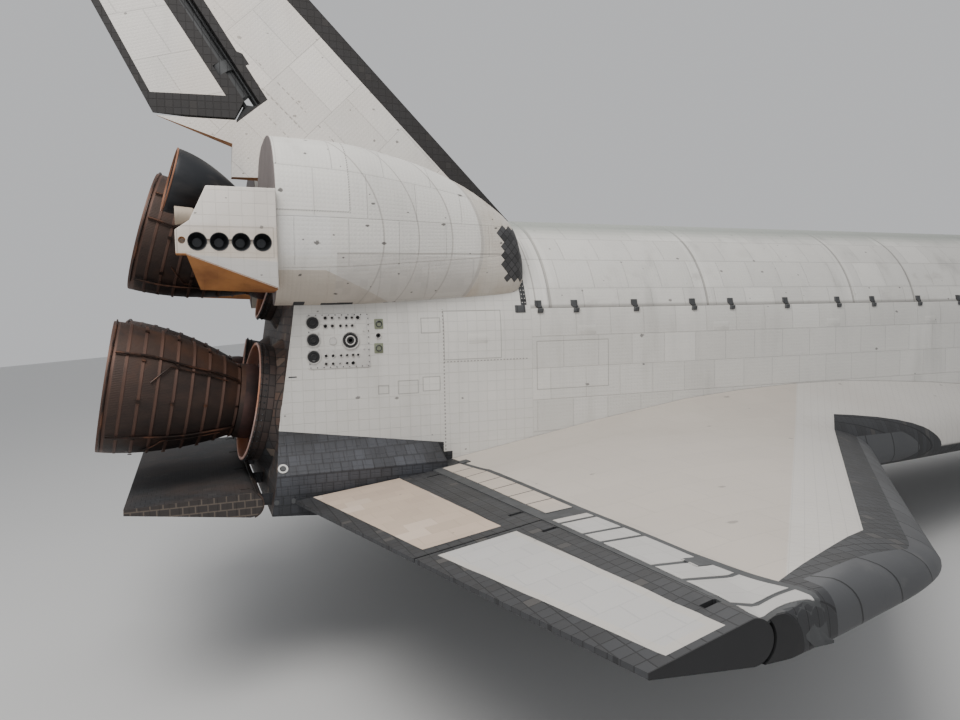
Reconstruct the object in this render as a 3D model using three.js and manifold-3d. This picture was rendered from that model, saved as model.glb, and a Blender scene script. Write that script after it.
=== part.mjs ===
// A winged space shuttle orbiter parked on its landing gear, as an assembly of separate bodies.
// Millimetres. In the airframe's own frame +X is forward, +Y port and +Z up, with the nose tip at
// station 0 and the flat belly at height 0; a station counts millimetres aft of the nose tip.
import * as THREE from "three";
import { mergeVertices } from "three/addons/utils/BufferGeometryUtils.js";
import Module from "manifold-3d";

const wasm = await Module();
wasm.setup();

// Driving dimensions

const PITCH = THREE.MathUtils.degToRad(4); // nose-down attitude on the gear
const JOINT_GAP = 6; // running clearance of moving panels
const SEAM = 0.5; // seam between fixed neighbours
const RUN = 0.6; // running gap at pins and between lugs, whose faces are square to the hinge

const BODY = { halfWidth: 2667, top: 5969, spring: 3378, halfSteps: 12 };
const BAY = { front: 8788, back: 27203, radius: 2350, sill: 3886, wall: 90 };
const DOOR = { thickness: 85, hingeOut: 34, openDeg: 175.5 };
const RADIATOR = { front: 8960, back: 18080, gap: 45, thickness: 45, startDeg: 24, endDeg: 78, lugs: [9400, 13520, 17640] };
const CABIN = { front: 3950, back: 8500, floor: 1900, wall: 100 };
const BASE = { top: 3912, topStation: 31990, slope: 0.157, plate: 150 };
const AFT = { bayBack: 27203, flareFront: 29300, flareHalf: 3245, flareTop: 1560, wall: 150 };

const WING = {
  root: 2672,
  tip: 11896,
  hinge: 29640,
  leadingAtCentre: 15240, // 45 degree leading edge, carried to the centreline
  trailingAtCentre: 32743,
  trailingSlope: 0.17734,
  gloveFront: 7300,
  glovePerSpan: 6.3, // station per unit of span along the glove
  kink: 4524,
  // the tip's outline, forward to aft. Columns: span, station
  tipOutline: [
    [10700, 25940],
    [10950, 26300],
    [11220, 26900],
    [11480, 27750],
    [11700, 28500],
    [11860, 29150],
  ],
  dihedral: 0.0612,
  lowerRise: 0.0856,
  tipTwist: 160, // how much the lower surface is lifted at the tip
};
const ELEVON = {
  hingeHeight: 480,
  hingeRise: 0.0779,
  hingeHalf: 380,
  halfLoss: 0.0209,
  from: 3290,
  coveShare: 1.1,
  coveGap: 10,
  trailingHeight: 545,
  trailingHalf: 28,
  upDeg: -33.5,
  downDeg: 18,
};
const FLAP = { hinge: 32918, height: 560, half: 215, halfSpan: 3240, trailing: 34900, trailingHeight: 655, trailingHalf: 50 };
const FIN = {
  rootStation: 26467,
  rootHeight: 5918,
  tipHeight: 13937,
  rootTrailing: 33284,
  trailingSlope: 0.493,
  tipTrailing: 37239,
  tipLeading: 34483,
  maxShare: 0.6, // the double wedge is thickest here
  leadSlope: 0.0875,
};
const RUDDER = {
  lowStation: 32537,
  lowHeight: 8255,
  topStation: 35814,
  topHeight: 13538,
  lowHalf: 240,
  topHalf: 150,
  knee: [32730, 7900], // the lower edge turns aft here
  trailingLow: 7976,
  trailingHalf: 10,
  headroom: 122, // an opened panel's top edge rises about the leaning hinge
  lean: 1.18, // a level cut across the leaning hinge line is this much longer than it is wide
  barrelShare: 0.78,
  innerShare: 0.88,
  finShare: 1.1,
  shaft: 45,
  drums: [8900, 10300, 11600, 12900], // heights of the actuator drums
  drumHalf: 110,
  turnDeg: 27.1,
  brakeDeg: 49.3,
};

const GEAR = {
  groundStation: 34976,
  groundHeight: -3380,
  mainStation: 23876,
  mainTrack: 3454,
  mainTyre: { radius: 565, width: 400, offset: 330 },
  noseStation: 3454,
  noseTyre: { radius: 406, width: 224, offset: 260 },
  steerDeg: 9,
};
const NOSE_WELL = { front: 1900, back: 4050, half: 560, top: 1500 };
const MAIN_WELL = { front: 20400, back: 24500, inner: 2790, outer: 4330, top: 1050 };
const HATCH = { station: 6900, height: 2750, radius: 510, openDeg: 92 };

// Each main engine's bell passes through a ball-shaped shield about its own pivot.
const MAIN_ENGINES = [
  { name: "engine_upper", station: 30709, side: 0, height: 4470, pitchDeg: 16, yawDeg: 0, shield: 1600, rootDeg: 58 },
  { name: "engine_left", station: 31297, side: 1346, height: 1921, pitchDeg: 10, yawDeg: 3.5, shield: 1613, rootDeg: 60 },
  { name: "engine_right", station: 31297, side: -1346, height: 1921, pitchDeg: 10, yawDeg: -3.5, shield: 1613, rootDeg: 60 },
];
const ENGINE = { exit: 4010, exitRadius: 1194, throat: 930, throatRadius: 190, wall: 42 };
const SHIELD = { collar: 32, fromDeg: 35.5, gap: 55, dome: 28, domeToDeg: 43 };
const SHIELD_RING = { atDeg: 41, radial: 70, along: 80 };
const THRUST_WALL = 30400; // the engines' clevises stand on this wall inside the aft fuselage
const BEARING = [130, 150, 150]; // half sizes of a main engine's bearing block: aft, up, across
const POD_BEARING = [60, 70, 70];
const POD_ENGINE = { station: 32181, side: 2231, height: 5702, pitchDeg: 15.8, yawDeg: 6.5, throat: 560, exit: 1900, exitRadius: 560 };

// Fuselage sections. Columns: station, bottom, top, half width, height of the widest point,
// roundness of the upper half (2 is an ellipse), roundness of the lower half
const SECTIONS = [
  [0, 1760, 1950, 105, 1854, 2, 2],
  [102, 1480, 2200, 370, 1840, 2, 2],
  [300, 1230, 2420, 590, 1800, 2, 2],
  [640, 960, 2700, 870, 1720, 2.05, 2.1],
  [1100, 760, 2985, 1160, 1620, 2.1, 2.3],
  [1650, 600, 3330, 1440, 1530, 2.15, 2.6],
  [2400, 440, 3720, 1700, 1520, 2.2, 3],
  [3200, 330, 4050, 1930, 1600, 2.2, 3.6],
  [3700, 280, 4290, 2060, 1750, 2.25, 4],
  [4300, 230, 4980, 2200, 2100, 2.3, 4.6],
  [4900, 185, 5480, 2330, 2500, 2.3, 5.2],
  [5600, 145, 5770, 2450, 2850, 2.25, 6],
  [6600, 95, 5920, 2580, 3200, 2.1, 7.5],
  [7700, 45, 5969, 2650, 3378, 2, 9],
  [8788, 10, 5969, 2667, 3378, 2, 10],
  [12000, 0, 5969, 2667, 3378, 2, 10],
  [28400, 0, 5969, 2667, 3378, 2, 10],
  [32560, 300, 5969, 2667, 3378, 2, 10],
];

// Orbital manoeuvring pod sections. Columns: station, inner side, outer side, bottom, top, roundness
const POD_SECTIONS = [
  [27290, 1500, 2420, 4050, 5250, 2.2],
  [27480, 1080, 2640, 3940, 5680, 2.4],
  [27900, 700, 2790, 3920, 6060, 2.5],
  [28700, 420, 2960, 3920, 6520, 2.6],
  [29900, 260, 3170, 3920, 6900, 2.7],
  [31200, 210, 3380, 3930, 7090, 2.8],
  [32340, 200, 3470, 3950, 7110, 2.8],
];

// Colours and finishes, shared by like pieces
const FINISH = {
  blanket: { color: 0xe4e0d8, roughness: 0.9, metalness: 0 },
  blackTile: { color: 0x1d1e20, roughness: 0.6, metalness: 0 },
  carbon: { color: 0x4a4b4d, roughness: 0.55, metalness: 0 },
  glass: { color: 0x1a2026, roughness: 0.1, metalness: 0 },
  cabin: { color: 0x8d9296, roughness: 0.7, metalness: 0 },
  radiator: { color: 0xc9ced2, roughness: 0.2, metalness: 0.8 },
  engineMetal: { color: 0x4a3a32, roughness: 0.5, metalness: 0.8 },
  steel: { color: 0x9aa0a4, roughness: 0.35, metalness: 0.9 },
  gearPaint: { color: 0xc8ccce, roughness: 0.5, metalness: 0.2 },
  tyre: { color: 0x202122, roughness: 0.85, metalness: 0 },
};
const materials = Object.fromEntries(
  Object.entries(FINISH).map(([name, finish]) => [name, new THREE.MeshStandardMaterial({ name, ...finish })]),
);

// Solids: joining and cutting closed geometries

const at = (station, y, z) => new THREE.Vector3(-station, y, z);
const PORT = new THREE.Vector3(0, 1, 0);
const FORWARD = new THREE.Vector3(1, 0, 0);

function solidOf(geometry) {
  const bare = geometry.clone();
  for (const extra of ["normal", "uv"]) bare.deleteAttribute(extra);
  const merged = mergeVertices(bare, 1e-3);
  const solid = new wasm.Manifold(
    new wasm.Mesh({
      numProp: 3,
      vertProperties: new Float32Array(merged.attributes.position.array),
      triVerts: new Uint32Array(merged.index.array),
    }),
  );
  if (solid.status() !== "NoError" && solid.status() !== 0) throw new Error("not a closed solid");
  return solid;
}

function geometryOf(solid) {
  const mesh = solid.getMesh();
  const geometry = new THREE.BufferGeometry();
  const xyz = new Float32Array(mesh.numVert * 3);
  for (let i = 0; i < mesh.numVert; i++) {
    xyz.set(mesh.vertProperties.subarray(i * mesh.numProp, i * mesh.numProp + 3), i * 3);
  }
  geometry.setAttribute("position", new THREE.BufferAttribute(xyz, 3));
  geometry.setIndex(new THREE.BufferAttribute(mesh.triVerts, 1));
  return geometry;
}

const join = (...all) => all.reduce((a, b) => a.add(b));
const cut = (from, ...tools) => tools.reduce((a, b) => a.subtract(b), from);

// A closed solid through loops of equal point count, capped flat at both ends.
function loft(loops) {
  const count = loops[0].length;
  const xyz = loops.flat().flatMap((p) => [p.x, p.y, p.z]);
  const faces = [];
  for (let k = 0; k + 1 < loops.length; k++) {
    for (let i = 0; i < count; i++) {
      const j = (i + 1) % count;
      const [a, b, c, d] = [k * count + i, k * count + j, (k + 1) * count + j, (k + 1) * count + i];
      faces.push(a, b, c, a, c, d);
    }
  }
  for (const end of [0, loops.length - 1]) {
    const loop = loops[end];
    const normal = new THREE.Vector3();
    loop.forEach((p, i) => {
      const q = loop[(i + 1) % count];
      normal.add(new THREE.Vector3().crossVectors(p, q));
    });
    const turn = new THREE.Quaternion().setFromUnitVectors(normal.normalize(), new THREE.Vector3(0, 0, 1));
    const flat = loop.map((p) => {
      const r = p.clone().applyQuaternion(turn);
      return new THREE.Vector2(r.x, r.y);
    });
    for (const [a, b, c] of THREE.ShapeUtils.triangulateShape(flat, [])) {
      const cap = [a, b, c].map((i) => end * count + i);
      faces.push(...(end === 0 ? cap.reverse() : cap));
    }
  }
  const geometry = new THREE.BufferGeometry();
  geometry.setAttribute("position", new THREE.Float32BufferAttribute(xyz, 3));
  geometry.setIndex(faces);
  const solid = solidOf(geometry);
  if (solid.volume() > 0) return solid;
  geometry.setIndex(faces.reverse());
  return solidOf(geometry);
}

function box(front, back, y0, y1, z0, z1) {
  const geometry = new THREE.BoxGeometry(back - front, y1 - y0, z1 - z0);
  return solidOf(geometry.translate(-(front + back) / 2, (y0 + y1) / 2, (z0 + z1) / 2));
}

// A plate whose outline is drawn in station and height, from y0 to y1.
function plate(outline, y0, y1) {
  return loft([y0, y1].map((y) => outline.map(([s, z]) => at(s, y, z))));
}

// A round bar between two points, tapering from r0 to r1.
function bar(from, to, r0, r1 = r0, sides = 10) {
  const length = from.distanceTo(to);
  const geometry = new THREE.CylinderGeometry(r1, r0, length, sides);
  const turn = new THREE.Quaternion().setFromUnitVectors(
    new THREE.Vector3(0, 1, 0),
    to.clone().sub(from).normalize(),
  );
  geometry.applyQuaternion(turn).translate(...from.clone().add(to).multiplyScalar(0.5).toArray());
  return solidOf(geometry);
}

// A turned solid: the profile's points are [distance along the axis, radius].
function turned(profile, origin, direction, sides) {
  const geometry = new THREE.LatheGeometry(
    profile.map(([along, radius]) => new THREE.Vector2(radius, along)),
    sides,
  );
  const turn = new THREE.Quaternion().setFromUnitVectors(new THREE.Vector3(0, 1, 0), direction);
  geometry.applyQuaternion(turn).translate(...origin.toArray());
  const solid = solidOf(geometry);
  if (solid.volume() > 0) return solid;
  geometry.index.array.reverse();
  return solidOf(geometry);
}

const ball = (centre, radius, sides) =>
  solidOf(new THREE.SphereGeometry(radius, sides, sides / 2).translate(...centre.toArray()));

// The corner radius of a many-sided hole that just clears a shaft of the given radius.
const boreFor = (radius, sides) => (radius + RUN / 2) / Math.cos(Math.PI / sides);

// A box in a turned frame: spans along three square directions from a centre.
function turnedBox(centre, [u, v, w], [u0, u1], [v0, v1], [w0, w1]) {
  const geometry = new THREE.BoxGeometry(u1 - u0, v1 - v0, w1 - w0);
  geometry.translate((u0 + u1) / 2, (v0 + v1) / 2, (w0 + w1) / 2);
  const handedness = new THREE.Vector3().crossVectors(u, v).dot(w) > 0 ? w : w.clone().negate();
  geometry.applyMatrix4(new THREE.Matrix4().makeBasis(u, v, handedness));
  return solidOf(geometry.translate(...centre.toArray()));
}

const mirrored = (solid) => solid.mirror([0, 1, 0]);
const handed = (solid, side) => (side > 0 ? solid : mirrored(solid));

// Reads a table row at a station, straight between its rows.
function rowAt(table, station) {
  const last = table.length - 1;
  const k = Math.min(last - 1, Math.max(0, table.findIndex((r) => r[0] > station) - 1));
  const next = station >= table[last][0] ? last - 1 : k;
  const [a, b] = [table[next], table[next + 1]];
  const t = (station - a[0]) / (b[0] - a[0]);
  return a.map((v, i) => v + (b[i] - v) * t);
}

// Fuselage

const superEllipse = (angle, roundness) => {
  const c = Math.cos(angle);
  const s = Math.sin(angle);
  return [
    Math.sign(c) * Math.abs(c) ** (2 / roundness),
    Math.sign(s) * Math.abs(s) ** (2 / roundness),
  ];
};

// The body's outline at a station, grown outwards by grow.
function bodyLoop(station, grow = 0) {
  const [, bottom, top, half, widest, upper, lower] = rowAt(SECTIONS, station);
  const steps = BODY.halfSteps * 2;
  const loop = [];
  for (let i = 0; i < steps; i++) {
    const angle = (i / steps) * 2 * Math.PI;
    const up = i <= steps / 2;
    const [c, s] = superEllipse(angle, up ? upper : lower);
    const rise = up ? top - widest : widest - bottom;
    loop.push(at(station, (half + grow) * c, widest + (rise + grow) * s));
  }
  return loop;
}

const stationsBetween = (table, front, back) => [
  front,
  ...table.map((r) => r[0]).filter((s) => s > front + 1 && s < back - 1),
  back,
];

const body = (front, back, grow = 0) =>
  loft(stationsBetween(SECTIONS, front, back).map((s) => bodyLoop(s, grow)));

const baseStation = (z) => BASE.topStation + (BASE.top - z) * BASE.slope;

// Everything aft of the slanted base plane, moved aft by offset.
function behindBase(offset) {
  const [low, high] = [-500, 7500];
  return plate(
    [
      [baseStation(low) + offset, low],
      [baseStation(high) + offset, high],
      [36000, high],
      [36000, low],
    ],
    -5000,
    5000,
  );
}

// The bay's space: a round trough open to the sky between the sills.
function bayCutter(front, back) {
  const loop = (s) => {
    const points = [];
    for (let i = 0; i <= 12; i++) {
      const angle = Math.PI + (i / 12) * Math.PI;
      points.push(at(s, BAY.radius * Math.cos(angle), BODY.spring + BAY.radius * Math.sin(angle)));
    }
    points.push(at(s, BAY.radius, 7000), at(s, -BAY.radius, 7000));
    return points;
  };
  return loft([loop(front), loop(back)]);
}

function noseWell(grow) {
  const { front, back, half, top } = NOSE_WELL;
  return box(front - grow, back + grow, -half - grow, half + grow, -400, top + grow);
}

const windowCuts = () => {
  // Columns: station, side, height, azimuth from forward, elevation, width, height of the pane
  const panes = [
    [4180, 400, 4730, 14, 42, 640, 620],
    [4360, 1060, 4680, 44, 40, 620, 640],
    [4800, 1560, 4700, 74, 34, 640, 560],
    [5800, 480, 5700, 90, 84, 460, 560],
  ];
  const cuts = [];
  for (const [s, y, z, azimuth, elevation, width, tall] of panes) {
    for (const side of [1, -1]) {
      const geometry = new THREE.BoxGeometry(900, width, tall);
      const a = THREE.MathUtils.degToRad(azimuth) * side;
      const e = THREE.MathUtils.degToRad(elevation);
      geometry.rotateY(-e).rotateZ(a).translate(-s, side * y, z);
      cuts.push(solidOf(geometry));
    }
  }
  return cuts;
};

const hatchPlug = (radius) =>
  bar(at(HATCH.station, 2300, HATCH.height), at(HATCH.station, 2900, HATCH.height), radius, radius, 20);

const THRUSTER_BOX = { front: 1300, back: 3050, half: 3000, low: 2300 };

const NOSE_CAP_BACK = 640;
const forwardBody = (grow = 0) => body(NOSE_CAP_BACK + SEAM, BAY.front, grow);
const cabinBody = (grow) => body(CABIN.front, CABIN.back, grow);

function forwardParts() {
  const cap = body(0, NOSE_CAP_BACK);
  const whole = forwardBody();
  const t = THRUSTER_BOX;
  const moduleBox = (grow) => box(t.front - grow, t.back + grow, -t.half - grow, t.half + grow, t.low - grow, 5000);
  const core = forwardBody(-260);
  const jets = [];
  for (const [s, y] of [[1500, 0], [1480, 330], [1480, -330]]) {
    jets.push(bar(at(s, y, 2600), at(s - 500, y, 4300), 110, 110, 10));
  }
  for (const [s, z] of [[2050, 2620], [2450, 2680]]) {
    for (const side of [1, -1]) jets.push(bar(at(s, side * 900, z), at(s, side * 1700, z + 80), 115, 115, 10));
  }
  const module = cut(whole.intersect(moduleBox(0)), core, ...jets);
  const cavity = cabinBody(-CABIN.wall).intersect(
    box(CABIN.front, CABIN.back, -3000, 3000, CABIN.floor, 6500),
  );
  const moduleSpace = whole.intersect(moduleBox(SEAM)).subtract(forwardBody(-270));
  const { y, z } = hatchPivot;
  const strapSpace = box(HATCH.station - 30 - RUN, HATCH.station + 30 + RUN, y - 75, y + 40, z - 37, z + 110);
  const shell = cut(
    join(whole, ...hatchKnuckles(0)),
    moduleSpace, cavity, noseWell(0), hatchPlug(HATCH.radius + JOINT_GAP), strapSpace, ...windowCuts(),
  );
  return { cap, shell, module };
}

// The panes stand in one curved retainer just inside the cabin skin.
function glazing() {
  const skin = CABIN.wall + SEAM;
  const region = box(CABIN.front + 60, 6300, -2400, 2400, 4180, 6500);
  return cabinBody(-skin).subtract(cabinBody(-skin - 35)).intersect(region);
}

function flightDeck() {
  const floor = cabinBody(-CABIN.wall - SEAM).intersect(box(4700, CABIN.back - 10, -3000, 3000, 3790, 3860));
  const shelf = plate([[4480, 3800], [4720, 3800], [4900, 4450], [4560, 4350]], -900, 900);
  const console = box(4700, 5500, -230, 230, 3850, 4150);
  const overhead = box(5100, 5550, -350, 350, 5230, 5330);
  const post = box(5510, 5600, -40, 40, 3850, 5240);
  return join(floor, shelf, console, overhead, post, seat(1), seat(-1));
}

function seat(side) {
  const y = side * 640;
  return join(
    box(5150, 5650, y - 240, y + 240, 4200, 4290),
    plate([[5600, 4200], [5700, 4200], [5860, 5080], [5760, 5100]], y - 230, y + 230),
    box(5350, 5500, y - 120, y + 120, 3850, 4210),
  );
}

const hatchPivot = at(HATCH.station, rowAt(SECTIONS, HATCH.station)[3] + 2, HATCH.height - HATCH.radius - 30);

// A stretch of the hatch's hinge pin line, between two stations.
const hatchPin = (front, back, radius) =>
  bar(hatchPivot.clone().setX(-front), hatchPivot.clone().setX(-back), radius, radius, 12);

const hatchKnuckles = (grow) => {
  const { station } = HATCH;
  return [-1, 1].map((way) => hatchPin(station + way * (30 + RUN - grow), station + way * (110 + grow), 30 + grow));
};

function sideHatch() {
  const { y, z } = hatchPivot;
  const strap = box(HATCH.station - 30, HATCH.station + 30, y - 60, y + 14, z, z + 110);
  const panel = forwardBody().intersect(hatchPlug(HATCH.radius)).subtract(cabinBody(-CABIN.wall));
  return join(panel, strap, hatchPin(HATCH.station - 30, HATCH.station + 30, 30));
}

const midFuselage = () =>
  cut(body(BAY.front + SEAM, BAY.back - SEAM), bayCutter(BAY.front - 10, BAY.back + 10), box(8000, 28000, -3000, 3000, BAY.sill, 7000));

// One half of the bay's roof, from its sill hinge to the crown.
function bayDoor(side) {
  const [front, back] = [BAY.front + RUN, BAY.back - RUN];
  const arch = body(front, back).subtract(body(front - 10, back + 10, -DOOR.thickness));
  const region = box(front - 5, back + 5, side > 0 ? 4 : -3000, side > 0 ? 3000 : -4, BAY.sill + JOINT_GAP, 7000);
  return join(arch.intersect(region), ...RADIATOR.lugs.map((s) => radiatorPin(side, s - 30, s + 30, 55)));
}

// A stretch of the line that a radiator folds about, inside its door.
function radiatorPin(side, front, back, radius) {
  const [y, z] = archPoint(DOOR.thickness + RADIATOR.gap, RADIATOR.startDeg);
  return bar(at(front, side * y, z), at(back, side * y, z), radius, radius, 16);
}

// A point on the bay's arched roof, set in from its outside.
const archPoint = (inset, deg) => {
  const angle = THREE.MathUtils.degToRad(deg);
  return [(BODY.halfWidth - inset) * Math.cos(angle), BODY.spring + (BODY.top - BODY.spring - inset) * Math.sin(angle)];
};

function radiator(side) {
  const outer = DOOR.thickness + RADIATOR.gap;
  const inner = outer + RADIATOR.thickness;
  const steps = 8;
  const loop = (s) => {
    const points = [];
    for (const inset of [outer, inner]) {
      const arc = [];
      for (let i = 0; i <= steps; i++) {
        const deg = RADIATOR.startDeg + ((RADIATOR.endDeg - RADIATOR.startDeg) * i) / steps;
        const [y, z] = archPoint(inset, deg);
        arc.push(at(s, side * y, z));
      }
      points.push(...(inset === outer ? arc : arc.reverse()));
    }
    return points;
  };
  const panel = loft([loop(RADIATOR.front), loop(RADIATOR.back)]);
  return cut(panel, ...RADIATOR.lugs.map((s) => radiatorPin(side, s - 30 - RUN, s + 30 + RUN, 62)));
}

const direction = (e) => {
  const p = THREE.MathUtils.degToRad(e.pitchDeg);
  const w = THREE.MathUtils.degToRad(e.yawDeg);
  return new THREE.Vector3(-Math.cos(p) * Math.cos(w), Math.cos(p) * Math.sin(w), Math.sin(p));
};
const pivotOf = (e) => at(e.station, e.side, e.height);

// A band of a ball's skin round an axis, between two angles from that axis.
function ballBand(inner, outer, fromDeg, toDeg, origin, axis, sides, steps = 5) {
  const arc = (radius, start, end) => {
    const points = [];
    for (let i = 0; i <= steps; i++) {
      const angle = THREE.MathUtils.degToRad(start + ((end - start) * i) / steps);
      points.push([radius * Math.cos(angle), radius * Math.sin(angle)]);
    }
    return points;
  };
  const profile = [...arc(outer, fromDeg, toDeg), ...arc(inner, toDeg, fromDeg)];
  return turned([...profile, profile[0]], origin, axis, sides);
}

const flapCove = () => {
  const radius = FLAP.half * 1.1 + 10;
  return bar(at(FLAP.hinge, -4000, FLAP.height), at(FLAP.hinge, 4000, FLAP.height), radius, radius, 24);
};

// The aft fuselage's lower corners spread outwards towards the body flap.
function aftHull() {
  const flareLoop = (s) => {
    const low = s > 28400 ? rowAt(SECTIONS, s)[1] + 20 : 20;
    const { flareHalf, flareTop } = AFT;
    return [at(s, 2300, flareTop), at(s, 2660, flareTop), at(s, flareHalf, 1020), at(s, flareHalf, low), at(s, 2300, low)];
  };
  const flare = loft([AFT.flareFront, 31000, 33200].map(flareLoop));
  return join(body(AFT.bayBack, 33200), flare, mirrored(flare));
}

const FLAP_ARMS = [-2900, -1000, 1000, 2900];
const FLAP_ARM = { half: 40, radius: 120 };

function flapArms() {
  const { half, radius } = FLAP_ARM;
  return FLAP_ARMS.map((y) =>
    join(
      bar(at(FLAP.hinge, y - half, FLAP.height), at(FLAP.hinge, y + half, FLAP.height), radius, radius, 14),
      box(FLAP.hinge - 480, FLAP.hinge, y - half, y + half, FLAP.height - 100, FLAP.height + 100),
    ),
  );
}

// An engine's bearing frame: aft along the engine in the upright plane, to port, and square to both.
function bearingFrame(e) {
  const upright = new THREE.Vector3().crossVectors(direction(e), PORT).normalize();
  return [new THREE.Vector3().crossVectors(PORT, upright).normalize(), PORT, upright];
}

// Two ears that hold the bearing block at its sides, with their roots further forward.
function sideEars(e, size, root) {
  const [reach, , across] = size;
  return [-1, 1].map((way) => {
    const span = [across + RUN, across + RUN + reach * 0.5].map((v) => v * way).sort((a, b) => a - b);
    return turnedBox(pivotOf(e), bearingFrame(e), [-root, reach * 0.8], span, [-reach * 0.7, reach * 0.7]);
  });
}

function bearingBlock(e, [reach, tall, across]) {
  return turnedBox(pivotOf(e), bearingFrame(e), [-reach, reach], [-across, across], [-tall, tall]);
}

// Two ears that hold the bearing block from above and below, on the engine's head.
function headEars(e, [reach, tall], head) {
  return [-1, 1].map((way) => {
    const span = [tall + RUN, tall + RUN + reach * 0.5].map((v) => v * way).sort((a, b) => a - b);
    return turnedBox(pivotOf(e), bearingFrame(e), [-reach * 0.7, head], [-reach * 0.6, reach * 0.6], span);
  });
}

function aftFuselage() {
  const cavity = body(AFT.bayBack, 33200, -AFT.wall).subtract(box(AFT.bayBack - 10, THRUST_WALL, -3000, 3000, -100, 7000));
  const upper = pivotOf(MAIN_ENGINES[0]);
  const domeSpace = [
    ball(upper, MAIN_ENGINES[0].shield - 12, 24).intersect(box(31150, 33000, -2000, 2000, 4000, 7000)),
    ...[1, 2].map((k) => {
      const side = Math.sign(MAIN_ENGINES[k].side);
      const [y0, y1] = [side * 2400, side * 2632].sort((a, b) => a - b);
      return ball(pivotOf(MAIN_ENGINES[k]), MAIN_ENGINES[k].shield - 12, 24).intersect(box(31700, 33000, y0, y1, 900, 3000));
    }),
  ];
  const ears = MAIN_ENGINES.flatMap((e) => sideEars(e, BEARING, e.station - THRUST_WALL + 400));
  const hull = cut(aftHull(), cavity, behindBase(-BASE.plate - SEAM), flapCove(), ...domeSpace);
  return join(hull, ...ears.map((ear) => ear.intersect(box(THRUST_WALL - 100, 33000, -3000, 3000, 0, 7000))));
}

// A plain ring round an engine's axis.
const ringBand = (e, from, to, inner, outer, sides) =>
  turned([[from, inner], [to, inner], [to, outer], [from, outer], [from, inner]], pivotOf(e), direction(e), sides);

function baseHeatShield() {
  const aft = behindBase(-BASE.plate);
  const { collar, fromDeg } = SHIELD;
  const ringAt = THREE.MathUtils.degToRad(SHIELD_RING.atDeg);
  const holes = MAIN_ENGINES.map((e) => {
    const radius = (e.shield - 18) / Math.cos(Math.PI / 16);
    const rim = [74, 58, 42, 27].map((deg) => THREE.MathUtils.degToRad(deg));
    const profile = rim.map((angle) => [radius * Math.cos(angle), radius * Math.sin(angle)]);
    return turned([[profile[0][0], 0], ...profile, [profile.at(-1)[0], 0]], pivotOf(e), direction(e), 16);
  });
  const collars = MAIN_ENGINES.map((e) => {
    const along = e.shield * Math.cos(ringAt);
    const rim = e.shield * Math.sin(ringAt) + 20;
    const band = ballBand(e.shield, e.shield + collar, fromDeg, e.rootDeg, pivotOf(e), direction(e), 16, 2);
    return join(band.intersect(aft), ringBand(e, along, along + SHIELD_RING.along, rim - 30, rim + SHIELD_RING.radial, 16));
  });
  const slab = cut(aftHull().intersect(aft).subtract(behindBase(0)), ...holes);
  return join(cut(join(slab, ...collars), flapCove()), ...flapArms().map((arm) => arm.intersect(aft)));
}

// Wing

const chordAt = (y) => WING.trailingAtCentre - WING.leadingAtCentre - (1 + WING.trailingSlope) * y;

function leadingStation(y) {
  if (y <= WING.kink) {
    const joined = WING.leadingAtCentre + WING.kink;
    const glove = WING.gloveFront + (y - WING.root) * WING.glovePerSpan;
    const t = (y - WING.root) / (WING.kink - WING.root);
    return glove + (joined - WING.gloveFront - (WING.kink - WING.root) * WING.glovePerSpan) * t ** 6;
  }
  return y <= WING.tipOutline[0][0] ? WING.leadingAtCentre + y : rowAt(WING.tipOutline, y)[1];
}

const tipShare = (y) => Math.max(0, (y - WING.root) / (WING.tip - WING.root));
const lowerHeight = (y) => WING.lowerRise * (y - WING.root) + WING.tipTwist * tipShare(y) ** 3;
const hingeHeight = (y) => ELEVON.hingeHeight + ELEVON.hingeRise * (y - ELEVON.from);
const hingeHalf = (y) => ELEVON.hingeHalf - ELEVON.halfLoss * (y - ELEVON.from);
const trailingStation = (y) => WING.trailingAtCentre - WING.trailingSlope * y;
const trailingHeight = (y) => ELEVON.trailingHeight + WING.dihedral * (y - ELEVON.from);

function wingThickness(y) {
  const nearRoot = Math.max(0, 1 - (y - WING.root) / 1900);
  return chordAt(y) * 0.112 + 372 * nearRoot ** 1.5;
}

// The wing's outline at span y, from the hinge line over the top and back underneath.
// Columns of the table: share of the chord, height above at the root, height above outboard of
// the kink, depth below (shares of their span)
const AIRFOIL = [
  [0, 0, 0, 0],
  [0.012, 0.2, 0.2, 0.34],
  [0.05, 0.41, 0.44, 0.66],
  [0.12, 0.58, 0.66, 0.86],
  [0.25, 0.72, 0.88, 0.98],
  [0.4, 0.9, 1, 1],
  [0.55, 1, 0.99, 1],
  [0.68, 0.94, 0.92, 1],
  [0.82, 0.7, 0.74, 1],
];

function wingLoop(y) {
  const front = leadingStation(y);
  const chord = WING.hinge - front;
  const thick = wingThickness(y);
  const low = lowerHeight(y);
  const nose = low + 340 - Math.max(0, y - WING.kink) * 0.03 - 60 * tipShare(y) ** 3;
  const outboard = Math.min(1, tipShare(y) / tipShare(WING.kink));
  const high = low + thick;
  const [hingeTop, hingeLow] = [hingeHeight(y) + hingeHalf(y), hingeHeight(y) - hingeHalf(y)];
  const upper = AIRFOIL.map(([x, root, out]) => at(front + x * chord, y, nose + (high - nose) * (root + (out - root) * outboard)));
  const lower = AIRFOIL.map(([x, , , down]) => at(front + x * chord, y, nose - (nose - low) * down));
  return [at(WING.hinge, y, hingeTop), ...upper.reverse(), ...lower.slice(1), at(WING.hinge, y, hingeLow)];
}

const WING_SPANS = [2300, 2672, 3000, 3400, 3850, 4250, 4524, 5200, 7000, 9000, 10700, 10950, 11220, 11480, 11700, 11860];
const LEADING_EDGE = { depth: 520, inboard: 4250, outboard: 10950, back: 28600 };
const AFT_OF_NOSE = 4300;

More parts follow.
